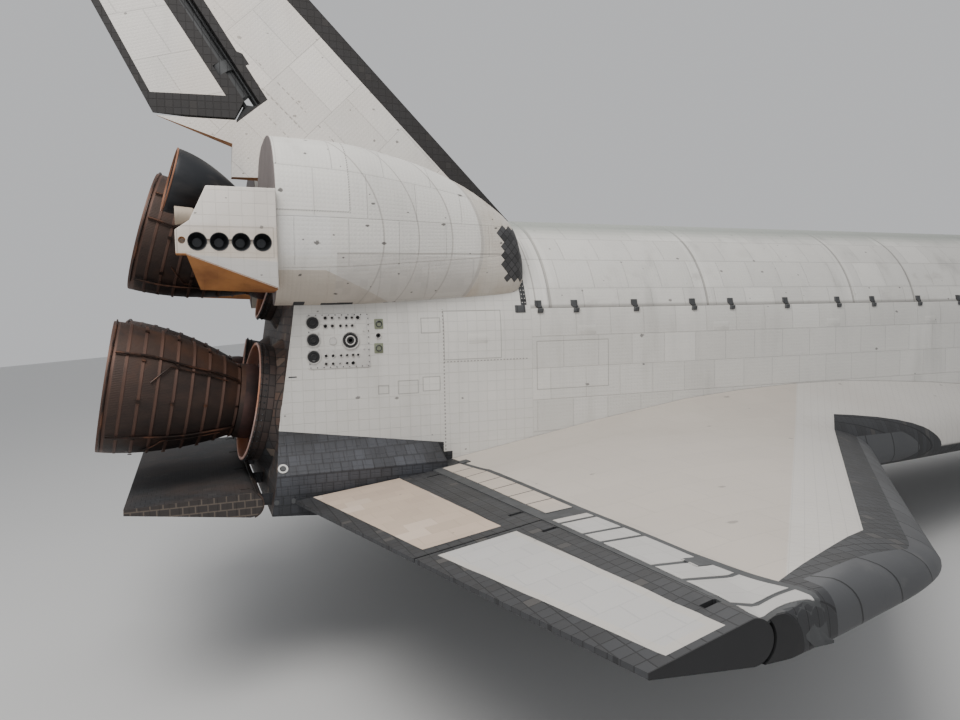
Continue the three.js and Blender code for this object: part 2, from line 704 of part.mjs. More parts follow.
function hingeCone(from, to, grow, share, sides = 20) {
  const point = (y) => at(WING.hinge, y, hingeHeight(y));
  return bar(point(from), point(to), hingeHalf(from) * share + grow, hingeHalf(to) * share + grow, sides);
}

// The moulded leading edge is cut off the wing along a line behind the edge.
function edgeRegion(offset) {
  const { depth, inboard, outboard, back } = LEADING_EDGE;
  const spans = WING_SPANS.filter((y) => y >= inboard && y <= outboard);
  const line = spans.map((y) => [leadingStation(y) + depth - offset, y]);
  line[0][1] += offset;
  line.push([27400 - offset, 11020 + offset], [back - offset, 11320 + offset], [back - offset, 13000]);
  const outline = [[15000, inboard + offset], ...line, [15000, 13000]];
  return loft([-1000, 4000].map((z) => outline.map(([s, y]) => at(s, y, z))));
}

function wing(side) {
  const cove = hingeCone(2000, 12600, ELEVON.coveGap, ELEVON.coveShare);
  const whole = loft(WING_SPANS.map(wingLoop)).subtract(cove);
  const well = box(MAIN_WELL.front, MAIN_WELL.back, MAIN_WELL.inner, MAIN_WELL.outer, -400, MAIN_WELL.top);
  const flareSpace = box(AFT.flareFront - SEAM, 33400, 0, AFT.flareHalf + SEAM, -200, AFT.flareTop + 200);
  return {
    panel: handed(join(cut(whole, edgeRegion(0), well, flareSpace), ...ELEVONS.flatMap((e) => e.lugs).map(elevonLug)), side).subtract(body(AFT_OF_NOSE, 33200, SEAM)),
    edge: handed(whole.intersect(edgeRegion(SEAM)), side),
  };
}

const ELEVONS = [
  { name: "inner", from: 3310, to: 7925, lugs: [3800, 7400] },
  { name: "outer", from: 7960, to: 11860, lugs: [8400, 11400] },
];
const LUG = { half: 40, share: 0.6, web: 0.35 };

const hingeLine = at(WING.hinge, 1000, hingeHeight(1000)).sub(at(WING.hinge, 0, hingeHeight(0))).normalize();

// A lug on the wing's rear spar, with faces square to the hinge line.
function elevonLug(y) {
  const centre = at(WING.hinge, y, hingeHeight(y));
  const radius = hingeHalf(y) * LUG.share;
  const forward = FORWARD.clone();
  const frame = [forward, hingeLine, new THREE.Vector3().crossVectors(forward, hingeLine)];
  const ends = [-LUG.half, LUG.half].map((d) => centre.clone().addScaledVector(hingeLine, d));
  const web = hingeHalf(y) * LUG.web;
  const reach = hingeHalf(y) * ELEVON.coveShare + ELEVON.coveGap + 60;
  return join(bar(...ends, radius, radius, 14), turnedBox(centre, frame, [0, reach], [-LUG.half, LUG.half], [-web, web]));
}

function elevonSlot(y) {
  const centre = at(WING.hinge, y, hingeHeight(y));
  const forward = FORWARD.clone();
  const frame = [forward, hingeLine, new THREE.Vector3().crossVectors(forward, hingeLine)];
  const wide = LUG.half + RUN;
  return turnedBox(centre, frame, [-hingeHalf(y) * LUG.share - 15, 900], [-wide, wide], [-900, 900]);
}

function elevon({ from, to, lugs }) {
  const arcSteps = 8;
  const loop = (y) => {
    const points = [];
    for (let i = 0; i <= arcSteps; i++) {
      const angle = Math.PI / 2 + (i / arcSteps) * Math.PI;
      points.push(at(WING.hinge - hingeHalf(y) * -Math.cos(angle), y, hingeHeight(y) + hingeHalf(y) * Math.sin(angle)));
    }
    const end = trailingStation(y);
    points.push(at(end, y, trailingHeight(y) - ELEVON.trailingHalf), at(end, y, trailingHeight(y) + ELEVON.trailingHalf));
    return points;
  };
  return cut(loft([loop(from), loop(to)]), ...lugs.map(elevonSlot));
}

function bodyFlap() {
  const arcSteps = 8;
  const loop = (y) => {
    const points = [];
    for (let i = 0; i <= arcSteps; i++) {
      const angle = Math.PI / 2 + (i / arcSteps) * Math.PI;
      points.push(at(FLAP.hinge + FLAP.half * Math.cos(angle), y, FLAP.height + FLAP.half * Math.sin(angle)));
    }
    points.push(at(FLAP.trailing, y, FLAP.trailingHeight - FLAP.trailingHalf), at(FLAP.trailing, y, FLAP.trailingHeight + FLAP.trailingHalf));
    return points;
  };
  const { half, radius } = FLAP_ARM;
  const slots = FLAP_ARMS.map((y) => box(FLAP.hinge - 500, FLAP.hinge + radius + 15, y - half - RUN, y + half + RUN, 0, 1200));
  return cut(loft([loop(-FLAP.halfSpan), loop(FLAP.halfSpan)]), ...slots);
}

// Fin, rudder and speed brake

const finLeading = (z) =>
  FIN.rootStation + ((FIN.tipLeading - FIN.rootStation) * (z - FIN.rootHeight)) / (FIN.tipHeight - FIN.rootHeight);
const finTrailing = (z) => FIN.rootTrailing + FIN.trailingSlope * (z - FIN.rootHeight);
const rudderShare = (z) => (z - RUDDER.lowHeight) / (RUDDER.topHeight - RUDDER.lowHeight);
const rudderStation = (z) => RUDDER.lowStation + (RUDDER.topStation - RUDDER.lowStation) * rudderShare(z);
const rudderHalf = (z) => RUDDER.lowHalf + (RUDDER.topHalf - RUDDER.lowHalf) * rudderShare(z);

function finLoop(z) {
  const [front, back] = [finLeading(z), finTrailing(z)];
  const crest = front + (back - front) * FIN.maxShare;
  const half = (crest - front) * FIN.leadSlope;
  return [at(front, 25, z), at(crest, half, z), at(back, 12, z), at(back, -12, z), at(crest, -half, z), at(front, -25, z)];
}

function fin() {
  const whole = loft([FIN.rootHeight - 500, FIN.tipHeight].map(finLoop));
  const hull = body(25000, 33400, SEAM);
  const reach = RUDDER.lean * RUDDER.finShare;
  const opening = [
    [RUDDER.topStation - RUDDER.topHalf * reach, RUDDER.topHeight + RUDDER.headroom],
    [RUDDER.lowStation - RUDDER.lowHalf * reach, RUDDER.lowHeight - 30],
    [RUDDER.knee[0] - 30, RUDDER.knee[1] - 40],
    [36000, RUDDER.trailingLow - 40],
    [40000, RUDDER.topHeight + RUDDER.headroom],
  ];
  const belowTail = [[32835, 6716], [32792, 7389], [34400, 7960], [36500, 7960], [36500, 4000], [31700, 4000], [31700, 6716]];
  const overBase = behindBase(0).intersect(box(31000, 37000, -900, 900, 0, 6716));
  return cut(whole, hull, plate(opening, -700, 700), plate(belowTail, -900, 900), overBase, rudderShaft(boreFor(RUDDER.shaft, 24), 40));
}

const rudderPoint = (z) => at(rudderStation(z), 0, z);
const rudderLine = rudderPoint(9000).sub(rudderPoint(8000)).normalize();

// The rudder's shaft runs past both ends of the opening into the fin.
const rudderShaft = (radius, past = 0) =>
  bar(rudderPoint(RUDDER.lowHeight - 150 - past), rudderPoint(RUDDER.topHeight + 230 + past), radius, radius, 24);

// A turning drum on the rudder's hinge line, where a panel's actuator sits.
function rudderDrum(z, share, grow) {
  const centre = rudderPoint(z);
  const [a, b] = [-1, 1].map((way) => centre.clone().addScaledVector(rudderLine, way * (RUDDER.drumHalf + grow)));
  return bar(a, b, rudderHalf(z) * share, rudderHalf(z) * share, 12);
}

function rudderPanel(side) {
  const arcSteps = 5;
  const loop = ([z, trailing]) => {
    const axis = rudderStation(z);
    const half = rudderHalf(z);
    const inner = half * RUDDER.innerShare;
    const points = [at(axis, side * half, z)];
    points.push(at(finTrailing(trailing), side * RUDDER.trailingHalf, trailing), at(finTrailing(trailing), side * 3, trailing));
    for (let i = 0; i <= arcSteps; i++) {
      const angle = (i / arcSteps) * (Math.PI / 2);
      points.push(at(axis + inner * RUDDER.lean * Math.cos(angle), side * Math.max(3, inner * Math.sin(angle)), z));
    }
    return points;
  };
  const whole = loft([[7800, 7800], [RUDDER.topHeight, RUDDER.topHeight]].map(loop));
  const below = [
    [RUDDER.lowStation - 600, RUDDER.lowHeight + 600 * 0.62],
    [RUDDER.lowStation, RUDDER.lowHeight],
    RUDDER.knee,
    [36000, RUDDER.trailingLow + 20],
    [36000, 7000],
    [31000, 7000],
  ];
  return cut(whole, plate(below, -900, 900), ...RUDDER.drums.map((z) => rudderDrum(z, 1.12, RUN)));
}

function rudderBarrel() {
  const share = RUDDER.barrelShare;
  const barrel = bar(rudderPoint(RUDDER.lowHeight + 60), rudderPoint(RUDDER.topHeight - 140), RUDDER.lowHalf * share, RUDDER.topHalf * share, 14);
  return join(barrel, rudderShaft(RUDDER.shaft), ...RUDDER.drums.map((z) => rudderDrum(z, 0.98, 0)));
}

// Orbital manoeuvring pods and their thruster housings

function podLoop(row) {
  const [s, inner, outer, bottom, top, roundness] = row;
  const steps = 20;
  return Array.from({ length: steps }, (_, i) => {
    const [c, n] = superEllipse((i / steps) * 2 * Math.PI, roundness);
    return at(s, (inner + outer) / 2 + ((outer - inner) / 2) * c, (bottom + top) / 2 + ((top - bottom) / 2) * n);
  });
}

function pod(side) {
  const shape = handed(loft(POD_SECTIONS.map(podLoop)), side);
  const finSpace = loft([5400, 7600].map((z) => finLoop(z).map((p) => p.clone().setY(p.y * 1.02))));
  const e = { ...POD_ENGINE, side: side * POD_ENGINE.side, yawDeg: side * POD_ENGINE.yawDeg };
  const [pivotAt, aft] = [pivotOf(e), direction(e)];
  const recess = bar(pivotAt.clone().addScaledVector(aft, -260), pivotAt.clone().addScaledVector(aft, 900), 330, 520, 20);
  const bellSpace = bar(at(31700, 0, 5060), at(32420, 0, 5060), 960, 1420, 20);
  return join(cut(shape, body(26000, 33400, SEAM), finSpace, recess, bellSpace), ...sideEars(e, POD_BEARING, 290));
}

const HOUSING = { front: 32340.5, back: 33702, tailBack: 33928, inner: 3262, outer: 3600 };

function thrusterHousing() {
  const h = HOUSING;
  const outline = [[h.front, 5955], [33435, 5955], [h.back, 5395], [h.tailBack, 5236], [h.tailBack, 4844], [33504, 4784], [32914, 4322], [h.front, 4175]];
  const jets = [0, 1, 2, 3].map((i) => {
    const s = 32580 + i * 339;
    return bar(at(s, h.outer - 240, 5055), at(s, h.outer + 60, 5055), 90, 148, 14);
  });
  const small = bar(at(33828, h.outer - 120, 5070), at(33828, h.outer + 60, 5070), 45, 64, 8);
  return cut(plate(outline, h.inner, h.outer), ...jets, small);
}

// Engines

const bellRadius = (along) => {
  const t = (along - ENGINE.throat) / (ENGINE.exit - ENGINE.throat);
  return ENGINE.throatRadius + (ENGINE.exitRadius - ENGINE.throatRadius) * Math.sin((Math.max(0, t) * Math.PI) / 2) ** 0.82;
};

function mainEngine(e) {
  const { exit, throat, wall } = ENGINE;
  const steps = 6;
  const stops = Array.from({ length: steps + 1 }, (_, i) => throat + ((exit - throat) * i) / steps);
  const outer = stops.map((along) => [along, bellRadius(along)]);
  const inner = stops.slice(1).reverse().map((along) => [along, bellRadius(along) - wall]);
  const profile = [[240, 0], [240, 560], [640, 560], [700, 330], [throat - 60, 300], ...outer, ...inner, [throat + 120, 0]];
  const dome = e.shield - SHIELD.gap;
  let from = 10;
  const [rad, meets] = [THREE.MathUtils.degToRad, wall * 0.5];
  while (dome * Math.sin(rad(from)) < bellRadius(dome * Math.cos(rad(from))) - meets) from += 0.25;
  return join(
    turned(profile, pivotOf(e), direction(e), 24),
    ballBand(dome - SHIELD.dome, dome, from, SHIELD.domeToDeg, pivotOf(e), direction(e), 24, 3),
    ...headEars(e, BEARING, 260),
  );
}

function podEngine(e) {
  const outer = [[110, 150], [420, 150], [520, 95]];
  const inner = [];
  const steps = 6;
  for (let i = 0; i <= steps; i++) {
    const t = i / steps;
    const radius = 95 + (e.exitRadius - 95) * Math.sin((t * Math.PI) / 2) ** 0.95;
    outer.push([e.throat + (e.exit - e.throat) * t, radius]);
    if (i) inner.unshift([e.throat + (e.exit - e.throat) * t, radius - 22]);
  }
  return join(
    turned([[110, 0], ...outer, ...inner, [e.throat + 80, 0]], pivotOf(e), direction(e), 20),
    ...headEars(e, POD_BEARING, 130),
  );
}

// Landing gear

const AXLE_SIDES = 32;
const groundHeight = (s) => GEAR.groundHeight + Math.tan(PITCH) * (GEAR.groundStation - s);
const axleHeight = (s, radius) => groundHeight(s) + radius / Math.cos(PITCH);

function tyre(station, y, height, { radius, width }) {
  const half = width / 2;
  const profile = [
    [-half * 0.72, radius * 0.52],
    [-half, radius * 0.72],
    [-half * 0.86, radius * 0.93],
    [-half * 0.42, radius],
    [half * 0.42, radius],
    [half * 0.86, radius * 0.93],
    [half, radius * 0.72],
    [half * 0.72, radius * 0.52],
  ];
  return turned([...profile, profile[0]], at(station, y, height), new THREE.Vector3(0, 1, 0), 24);
}

// Both rims of a twin wheel on one sleeve.
function hub(station, y, height, { radius, width, offset }) {
  const rim = (side) => {
    const half = width * 0.36;
    const edge = radius * 0.52 - SEAM;
    return turned(
      [[-half, 0], [-half, edge], [half, edge], [half * 0.7, radius * 0.42], [half * 0.5, 0]],
      at(station, y + side * offset, height),
      new THREE.Vector3(0, side, 0),
      24,
    );
  };
  const sleeve = bar(at(station, y - offset, height), at(station, y + offset, height), radius * 0.16, radius * 0.16, AXLE_SIDES);
  return join(rim(1), rim(-1), sleeve);
}

function mainLeg(side) {
  const [s, y] = [GEAR.mainStation, side * GEAR.mainTrack];
  const axle = axleHeight(s, GEAR.mainTyre.radius);
  const fork = bar(at(s, y, axle + 130), at(s, y, axle + 900), 95);
  const cylinder = bar(at(s, y, axle + 850), at(s, y, 620), 150);
  const collar = cut(
    bar(at(s, y - 70, axle), at(s, y + 70, axle), 170),
    bar(at(s, y - 80, axle), at(s, y + 80, axle), ...Array(2).fill(boreFor(GEAR.mainTyre.radius * 0.16, AXLE_SIDES)), AXLE_SIDES),
  );
  const walls = [MAIN_WELL.inner + SEAM, MAIN_WELL.outer - SEAM].map((v) => side * v);
  const trunnion = bar(at(s, walls[0], 560), at(s, walls[1], 560), 90);
  const brace = bar(at(s - 2100, y, 700), at(s - 60, y, -700), 70);
  const braceEnd = bar(at(s - 2100, walls[0], 700), at(s - 2100, walls[1], 700), 70);
  const link = plate([[s + 60, axle + 80], [s + 330, axle + 480], [s + 60, axle + 900], [s + 60, axle + 820], [s + 230, axle + 480], [s + 60, axle + 160]], y - 60, y + 60);
  return join(fork, cylinder, collar, trunnion, brace, braceEnd, link);
}

function noseLeg() {
  const s = GEAR.noseStation;
  const axle = axleHeight(s, GEAR.noseTyre.radius);
  const cylinder = bar(at(s, 0, axle + 620), at(s, 0, 1250), 115);
  const wall = NOSE_WELL.half - SEAM;
  const trunnion = bar(at(s, -wall, 1180), at(s, wall, 1180), 80);
  const brace = bar(at(s - 1300, 0, 1250), at(s - 60, 0, axle + 800), 55);
  const braceEnd = bar(at(s - 1300, -wall, 1250), at(s - 1300, wall, 1250), 55);
  return join(cylinder, trunnion, brace, braceEnd);
}

function noseFork() {
  const s = GEAR.noseStation;
  const axle = axleHeight(s, GEAR.noseTyre.radius);
  const piston = bar(at(s, 0, axle + 90), at(s, 0, axle + 620 - RUN), 80);
  const collar = cut(
    bar(at(s, -60, axle), at(s, 60, axle), 130),
    bar(at(s, -70, axle), at(s, 70, axle), ...Array(2).fill(boreFor(GEAR.noseTyre.radius * 0.16, AXLE_SIDES)), AXLE_SIDES),
  );
  return join(piston, collar);
}

function noseDoor(side) {
  const { front, back, half } = NOSE_WELL;
  const low = (s) => rowAt(SECTIONS, s)[1];
  const edge = [front + 8, 2400, 3200, back - 8].map((s) => [s, low(s) + 40]);
  const foot = [back - 8, front + 8].map((s) => [s, low(s) - half + 20]);
  return plate([...edge, ...foot], ...(side > 0 ? [half - 50, half - SEAM] : [SEAM - half, 50 - half]));
}

function mainDoor(side) {
  const { front, back, outer } = MAIN_WELL;
  const [a, b] = side > 0 ? [outer - 60, outer - SEAM] : [SEAM - outer, 60 - outer];
  const top = lowerHeight(outer) + 40;
  return plate([[front + 10, top], [back - 10, top], [back - 10, top - 1480], [front + 10, top - 1480]], a, b);
}

// Assembly: a fixed airframe, and a group at each pivot that carries what turns there

const shuttle = new THREE.Group();
shuttle.name = "shuttle";
shuttle.rotation.y = PITCH;

// A turning group. Its pivot is in the airframe's frame; its axis is the joint's own direction.
function pivot(name, carrier, point, axis) {
  const group = new THREE.Group();
  group.name = name;
  group.userData = { pivot: point.clone(), axis: axis.clone().normalize() };
  const base = carrier.userData.pivot ?? new THREE.Vector3();
  group.position.copy(point).sub(base);
  carrier.add(group);
  return group;
}

function add(group, name, solid, finish) {
  const mesh = new THREE.Mesh(geometryOf(solid), materials[finish]);
  mesh.name = name;
  mesh.position.copy(group.userData.pivot ?? new THREE.Vector3()).negate();
  group.add(mesh);
  return mesh;
}

const SIDES = [["left", 1], ["right", -1]];

const forward = forwardParts();
add(shuttle, "nose_cap", forward.cap, "carbon");
add(shuttle, "forward_fuselage", forward.shell, "blanket");
add(shuttle, "forward_thruster_module", forward.module, "blanket");
add(shuttle, "cabin_glazing", glazing(), "glass");
add(shuttle, "flight_deck", flightDeck(), "cabin");
add(shuttle, "mid_fuselage", midFuselage(), "blanket");
add(shuttle, "aft_fuselage", aftFuselage(), "blanket");
add(shuttle, "base_heat_shield", baseHeatShield(), "blackTile");
add(shuttle, "fin", fin(), "blanket");

const hatch = pivot("side_hatch", shuttle, hatchPivot, FORWARD.clone().negate());
add(hatch, "side_hatch", sideHatch(), "blanket");

const housing = thrusterHousing();
for (const [name, side] of SIDES) {
  const wingParts = wing(side);
  add(shuttle, "wing_" + name, wingParts.panel, "blanket");
  add(shuttle, "leading_edge_" + name, wingParts.edge, "carbon");
  add(shuttle, "pod_" + name, pod(side), "blanket");
  add(shuttle, "thruster_housing_" + name, handed(housing, side), "blanket");
  add(shuttle, "main_leg_" + name, mainLeg(side), "gearPaint");
  add(shuttle, "main_gear_door_" + name, mainDoor(side), "blackTile");
  add(shuttle, "nose_gear_door_" + name, noseDoor(side), "blackTile");

  const doorY = rowAt(SECTIONS, 15000)[3] + DOOR.hingeOut - 20;
  const door = pivot("bay_door_" + name, shuttle, at(18000, side * doorY, BAY.sill), FORWARD.clone().multiplyScalar(-side));
  add(door, "bay_door_" + name, bayDoor(side), "blanket");
  const [ry, rz] = archPoint(DOOR.thickness + RADIATOR.gap, RADIATOR.startDeg);
  const fold = pivot("radiator_" + name, door, at(13520, side * ry, rz), FORWARD.clone().multiplyScalar(side));
  add(fold, "radiator_" + name, radiator(side), "radiator");

  const hingePoint = (y) => at(WING.hinge, side * y, hingeHeight(y));
  const hingeAxis = hingePoint(side > 0 ? 11620 : 3290).sub(hingePoint(side > 0 ? 3290 : 11620));
  for (const surface of ELEVONS) {
    const label = "elevon_" + surface.name + "_" + name;
    const turn = pivot(label, shuttle, hingePoint((surface.from + surface.to) / 2), hingeAxis.clone().negate());
    add(turn, label, handed(elevon(surface), side), "blanket");
  }

  const axleAt = at(GEAR.mainStation, side * GEAR.mainTrack, axleHeight(GEAR.mainStation, GEAR.mainTyre.radius));
  const wheels = pivot("main_wheels_" + name, shuttle, axleAt, PORT);
  const { offset } = GEAR.mainTyre;
  add(wheels, "main_hub_" + name, hub(GEAR.mainStation, axleAt.y, axleAt.z, GEAR.mainTyre), "steel");
  add(wheels, "main_tyre_inner_" + name, tyre(GEAR.mainStation, axleAt.y - side * offset, axleAt.z, GEAR.mainTyre), "tyre");
  add(wheels, "main_tyre_outer_" + name, tyre(GEAR.mainStation, axleAt.y + side * offset, axleAt.z, GEAR.mainTyre), "tyre");
}

const flap = pivot("body_flap", shuttle, at(FLAP.hinge, 0, FLAP.height), PORT.clone().negate());
add(flap, "body_flap", bodyFlap(), "blackTile");

const rudderAxis = at(RUDDER.topStation, 0, RUDDER.topHeight).sub(at(RUDDER.lowStation, 0, RUDDER.lowHeight));
const rudderFoot = at(RUDDER.lowStation, 0, RUDDER.lowHeight);
const rudder = pivot("rudder", shuttle, rudderFoot, rudderAxis);
add(rudder, "rudder_barrel", rudderBarrel(), "blackTile");
for (const [name, side] of SIDES) {
  const brake = pivot("speed_brake_" + name, rudder, rudderFoot, rudderAxis.clone().multiplyScalar(-side));
  add(brake, "speed_brake_" + name, rudderPanel(side), "blanket");
}

for (const e of MAIN_ENGINES) {
  const axis = direction(e);
  const across = PORT.clone();
  const upright = new THREE.Vector3().crossVectors(axis, across).normalize();
  const pitch = pivot(e.name + "_pitch", shuttle, pivotOf(e), across.negate());
  add(pitch, e.name + "_gimbal", bearingBlock(e, BEARING), "steel");
  const yaw = pivot(e.name + "_yaw", pitch, pivotOf(e), upright);
  add(yaw, e.name, mainEngine(e), "engineMetal");
}

for (const [name, side] of SIDES) {
  const e = { ...POD_ENGINE, side: side * POD_ENGINE.side, yawDeg: side * POD_ENGINE.yawDeg };
  const axis = direction(e);
  const upright = new THREE.Vector3().crossVectors(axis, PORT).normalize();
  const pitch = pivot("pod_engine_" + name + "_pitch", shuttle, pivotOf(e), PORT.clone().negate());
  add(pitch, "pod_engine_" + name + "_gimbal", bearingBlock(e, POD_BEARING), "steel");
  const yaw = pivot("pod_engine_" + name + "_yaw", pitch, pivotOf(e), upright);
  add(yaw, "pod_engine_" + name, podEngine(e), "engineMetal");
}

add(shuttle, "nose_leg", noseLeg(), "gearPaint");
const noseAxle = at(GEAR.noseStation, 0, axleHeight(GEAR.noseStation, GEAR.noseTyre.radius));
const steering = pivot("nose_steering", shuttle, noseAxle.clone().setZ(noseAxle.z + 400), new THREE.Vector3(0, 0, 1));
add(steering, "nose_fork", noseFork(), "gearPaint");
const noseWheels = pivot("nose_wheels", steering, noseAxle, PORT);
add(noseWheels, "nose_hub", hub(GEAR.noseStation, 0, noseAxle.z, GEAR.noseTyre), "steel");
for (const [name, side] of SIDES) {
  add(noseWheels, "nose_tyre_" + name, tyre(GEAR.noseStation, side * GEAR.noseTyre.offset, noseAxle.z, GEAR.noseTyre), "tyre");
}

// The origin is the centre of the footprint, on the ground.
shuttle.updateMatrixWorld(true);
const extent = new THREE.Box3().setFromObject(shuttle, true);
const centre = extent.getCenter(new THREE.Vector3());
shuttle.position.set(-centre.x, -centre.y, -extent.min.z);

export default shuttle;
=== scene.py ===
import math
from functools import partialmethod

import bmesh
import bpy
from mathutils import Matrix, Vector


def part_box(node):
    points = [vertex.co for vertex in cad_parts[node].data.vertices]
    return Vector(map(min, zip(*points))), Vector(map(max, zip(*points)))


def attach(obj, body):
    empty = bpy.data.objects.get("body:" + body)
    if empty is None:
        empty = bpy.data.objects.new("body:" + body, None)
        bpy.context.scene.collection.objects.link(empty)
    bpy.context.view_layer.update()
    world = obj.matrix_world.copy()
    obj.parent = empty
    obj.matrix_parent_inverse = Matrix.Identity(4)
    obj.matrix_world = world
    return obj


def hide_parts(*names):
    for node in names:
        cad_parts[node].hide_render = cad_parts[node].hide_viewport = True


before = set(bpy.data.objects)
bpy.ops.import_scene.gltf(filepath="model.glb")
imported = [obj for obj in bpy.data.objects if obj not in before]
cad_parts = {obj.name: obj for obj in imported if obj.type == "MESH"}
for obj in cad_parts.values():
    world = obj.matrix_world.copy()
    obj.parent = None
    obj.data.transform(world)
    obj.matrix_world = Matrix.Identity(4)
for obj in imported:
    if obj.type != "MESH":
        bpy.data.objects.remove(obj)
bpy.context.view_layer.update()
scene = bpy.context.scene

# Places. The airframe's own frame has x forward, y to port and z up. A station counts millimetres
# aft of the nose tip, and heights are over the flat belly.

MM = 0.001
TAU = 2 * math.pi
PITCH = math.radians(4)
TURN = Matrix.Rotation(PITCH, 4, "Y")
# The floor slopes in this frame: its height at one station
GROUND = {"station": 34976, "height": -3380}
MAIN_WHEEL = {"station": 23876, "side": 3454, "radius": 565, "width": 400, "offset": 330, "spokes": 10}
NOSE_WHEEL = {"station": 3454, "radius": 406, "width": 224, "offset": 260, "spokes": 8}


def at(station, y, z):
    return Vector((-station * MM, y * MM, z * MM))


def centre_of(node):
    low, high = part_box(node)
    return (low + high) / 2


def axle_height(wheel):
    """Height of the axle of a wheel that stands on the floor."""
    ground = GROUND["height"] + math.tan(PITCH) * (GROUND["station"] - wheel["station"])
    return ground + wheel["radius"] / math.cos(PITCH)


MAIN_AXLE = at(MAIN_WHEEL["station"], 0, axle_height(MAIN_WHEEL))
HUBS = (centre_of("main_hub_left") + centre_of("main_hub_right")) / 2
PLACE = Matrix.Translation(HUBS - TURN @ MAIN_AXLE) @ TURN

# Camera, light and floor. The camera was fitted to the photograph in the airframe's frame, in metres.

CAMERA = {"place": (-33.7492, -16.4374, 3.8456), "right": (0.931, -0.365, -0.018),
          "ahead": (0.363, 0.930, -0.066), "lens": 27.67, "sensor": 36, "far": 400}
SKY, SKY_STRENGTH = (0.80, 0.81, 0.83, 1), 0.72
# Columns: name, place, point it looks at, size, power and colour
LAMPS = [
    ("key", (-20, -14, 27), (-10, 0, 6), 15, 6800, (1, 0.975, 0.94)),
    ("fill", (-36, -20, 12), (-16, 0, 5), 16, 700, (0.92, 0.95, 1)),
    ("rim", (14, 18, 22), (0, 0, 5), 18, 2600, (1, 0.98, 0.96)),
]
FLOOR = {"reach": 160, "colour": (0.60, 0.60, 0.595, 1), "rough": 0.8}


def linked(name, data):
    made = bpy.data.objects.new(name, data)
    scene.collection.objects.link(made)
    return made


def set_camera():
    data = bpy.data.cameras.new("camera")
    camera = linked("camera", data)
    right = Vector(CAMERA["right"]).normalized()
    ahead = Vector(CAMERA["ahead"])
    ahead = (ahead - right * ahead.dot(right)).normalized()
    axes = Matrix((right, right.cross(ahead), -ahead)).transposed().to_4x4()
    camera.matrix_world = PLACE @ Matrix.Translation(Vector(CAMERA["place"])) @ axes
    data.sensor_width, data.lens, data.clip_end = CAMERA["sensor"], CAMERA["lens"], CAMERA["far"]
    scene.camera = camera


def set_light():
    world = bpy.data.worlds.new("sky")
    scene.world = world
    world.use_nodes = True
    backdrop = world.node_tree.nodes["Background"]
    backdrop.inputs["Color"].default_value = SKY
    backdrop.inputs["Strength"].default_value = SKY_STRENGTH
    for name, spot, target, size, power, colour in LAMPS:
        data = bpy.data.lights.new(name, "AREA")
        data.size, data.energy, data.color = size, power, colour
        lamp = linked(name, data)
        lamp.location = spot
        lamp.rotation_euler = (Vector(target) - Vector(spot)).to_track_quat("-Z", "Y").to_euler()


def set_floor():
    reach = FLOOR["reach"]
    mesh = bpy.data.meshes.new("floor")
    mesh.from_pydata([(-reach, -reach, 0), (reach, -reach, 0), (reach, reach, 0), (-reach, reach, 0)], [],
                     [(0, 1, 2, 3)])
    paint = bpy.data.materials.new("floor_paint")
    paint.use_nodes = True
    shader = paint.node_tree.nodes["Principled BSDF"]
    shader.inputs["Base Color"].default_value = FLOOR["colour"]
    shader.inputs["Roughness"].default_value = FLOOR["rough"]
    mesh.materials.append(paint)
    floor = linked("floor", mesh)


# Solids. Every maker takes millimetres in the airframe's frame and gives a closed mesh object.


# Two corners nearer than CLOSE become one, and edges shorter than SLIVER go, both in metres
CLOSE, SLIVER = 2e-5, 1e-5


def solid(points, faces):
    mesh = bpy.data.meshes.new("solid")
    mesh.from_pydata([tuple(p) for p in points], [], faces)
    body = bmesh.new()
    body.from_mesh(mesh)
    bmesh.ops.remove_doubles(body, verts=body.verts, dist=CLOSE)
    bmesh.ops.dissolve_degenerate(body, edges=body.edges, dist=SLIVER)
    if body.calc_volume(signed=True) < 0:
        bmesh.ops.reverse_faces(body, faces=body.faces)
    body.to_mesh(mesh)
    body.free()
    return linked("solid", mesh)


def band_faces(rows, count):
    """The quads between closed rows of points, one row after another."""
    pairs = [(i, (i + 1) % count) for i in range(count)]
    return [(k + i, k + j, k + count + j, k + count + i)
            for k in range(0, (rows - 1) * count, count) for i, j in pairs]


def loft(loops):
    count, total = len(loops[0]), len(loops[0]) * len(loops)
    ends = [tuple(reversed(range(count))), tuple(range(total - count, total))]
    return solid([p for loop in loops for p in loop], band_faces(len(loops), count) + ends)


def box(front, back, y0, y1, z0, z1):
    return loft([[at(s, y0, z0), at(s, y1, z0), at(s, y1, z1), at(s, y0, z1)] for s in (front, back)])


def plate(outline, y0, y1):
    return loft([[at(s, y, z) for s, z in outline] for y in (y0, y1)])


def slab(outline, z0, z1):
    return loft([[at(s, y, z) for s, y in outline] for z in (z0, z1)])


def basis(axis, hint=Vector((0, 1, 0))):
    w = Vector(axis).normalized()
    u = hint - w * hint.dot(w)
    if u.length < 1e-3:
        u = Vector((0, 0, 1)) - w * w.z
    u.normalize()
    return u, w.cross(u), w


def turned(profile, origin, axis, sides=48):
    """A turned solid; the profile's points are (along, radius) in millimetres."""
    u, v, w = basis(axis)
    arms = [u * math.cos(TAU * i / sides) + v * math.sin(TAU * i / sides) for i in range(sides)]
    points = [origin + (w * along + arm * max(radius, 0)) * MM for along, radius in profile for arm in arms]
    return solid(points, band_faces(len(profile), sides))


def bar(a, b, r0, r1=None, sides=24):
    r1 = r0 if r1 is None else r1
    length = (b - a).length / MM
    return turned([(0, 0), (0, r0), (length, r1), (length, 0)], a, b - a, sides)


def cross_bar(station, y, height, half, radius, sides=24):
    """A round bar from side to side, half its length each way from y."""
    return bar(at(station, y - half, height), at(station, y + half, height), radius, sides=sides)


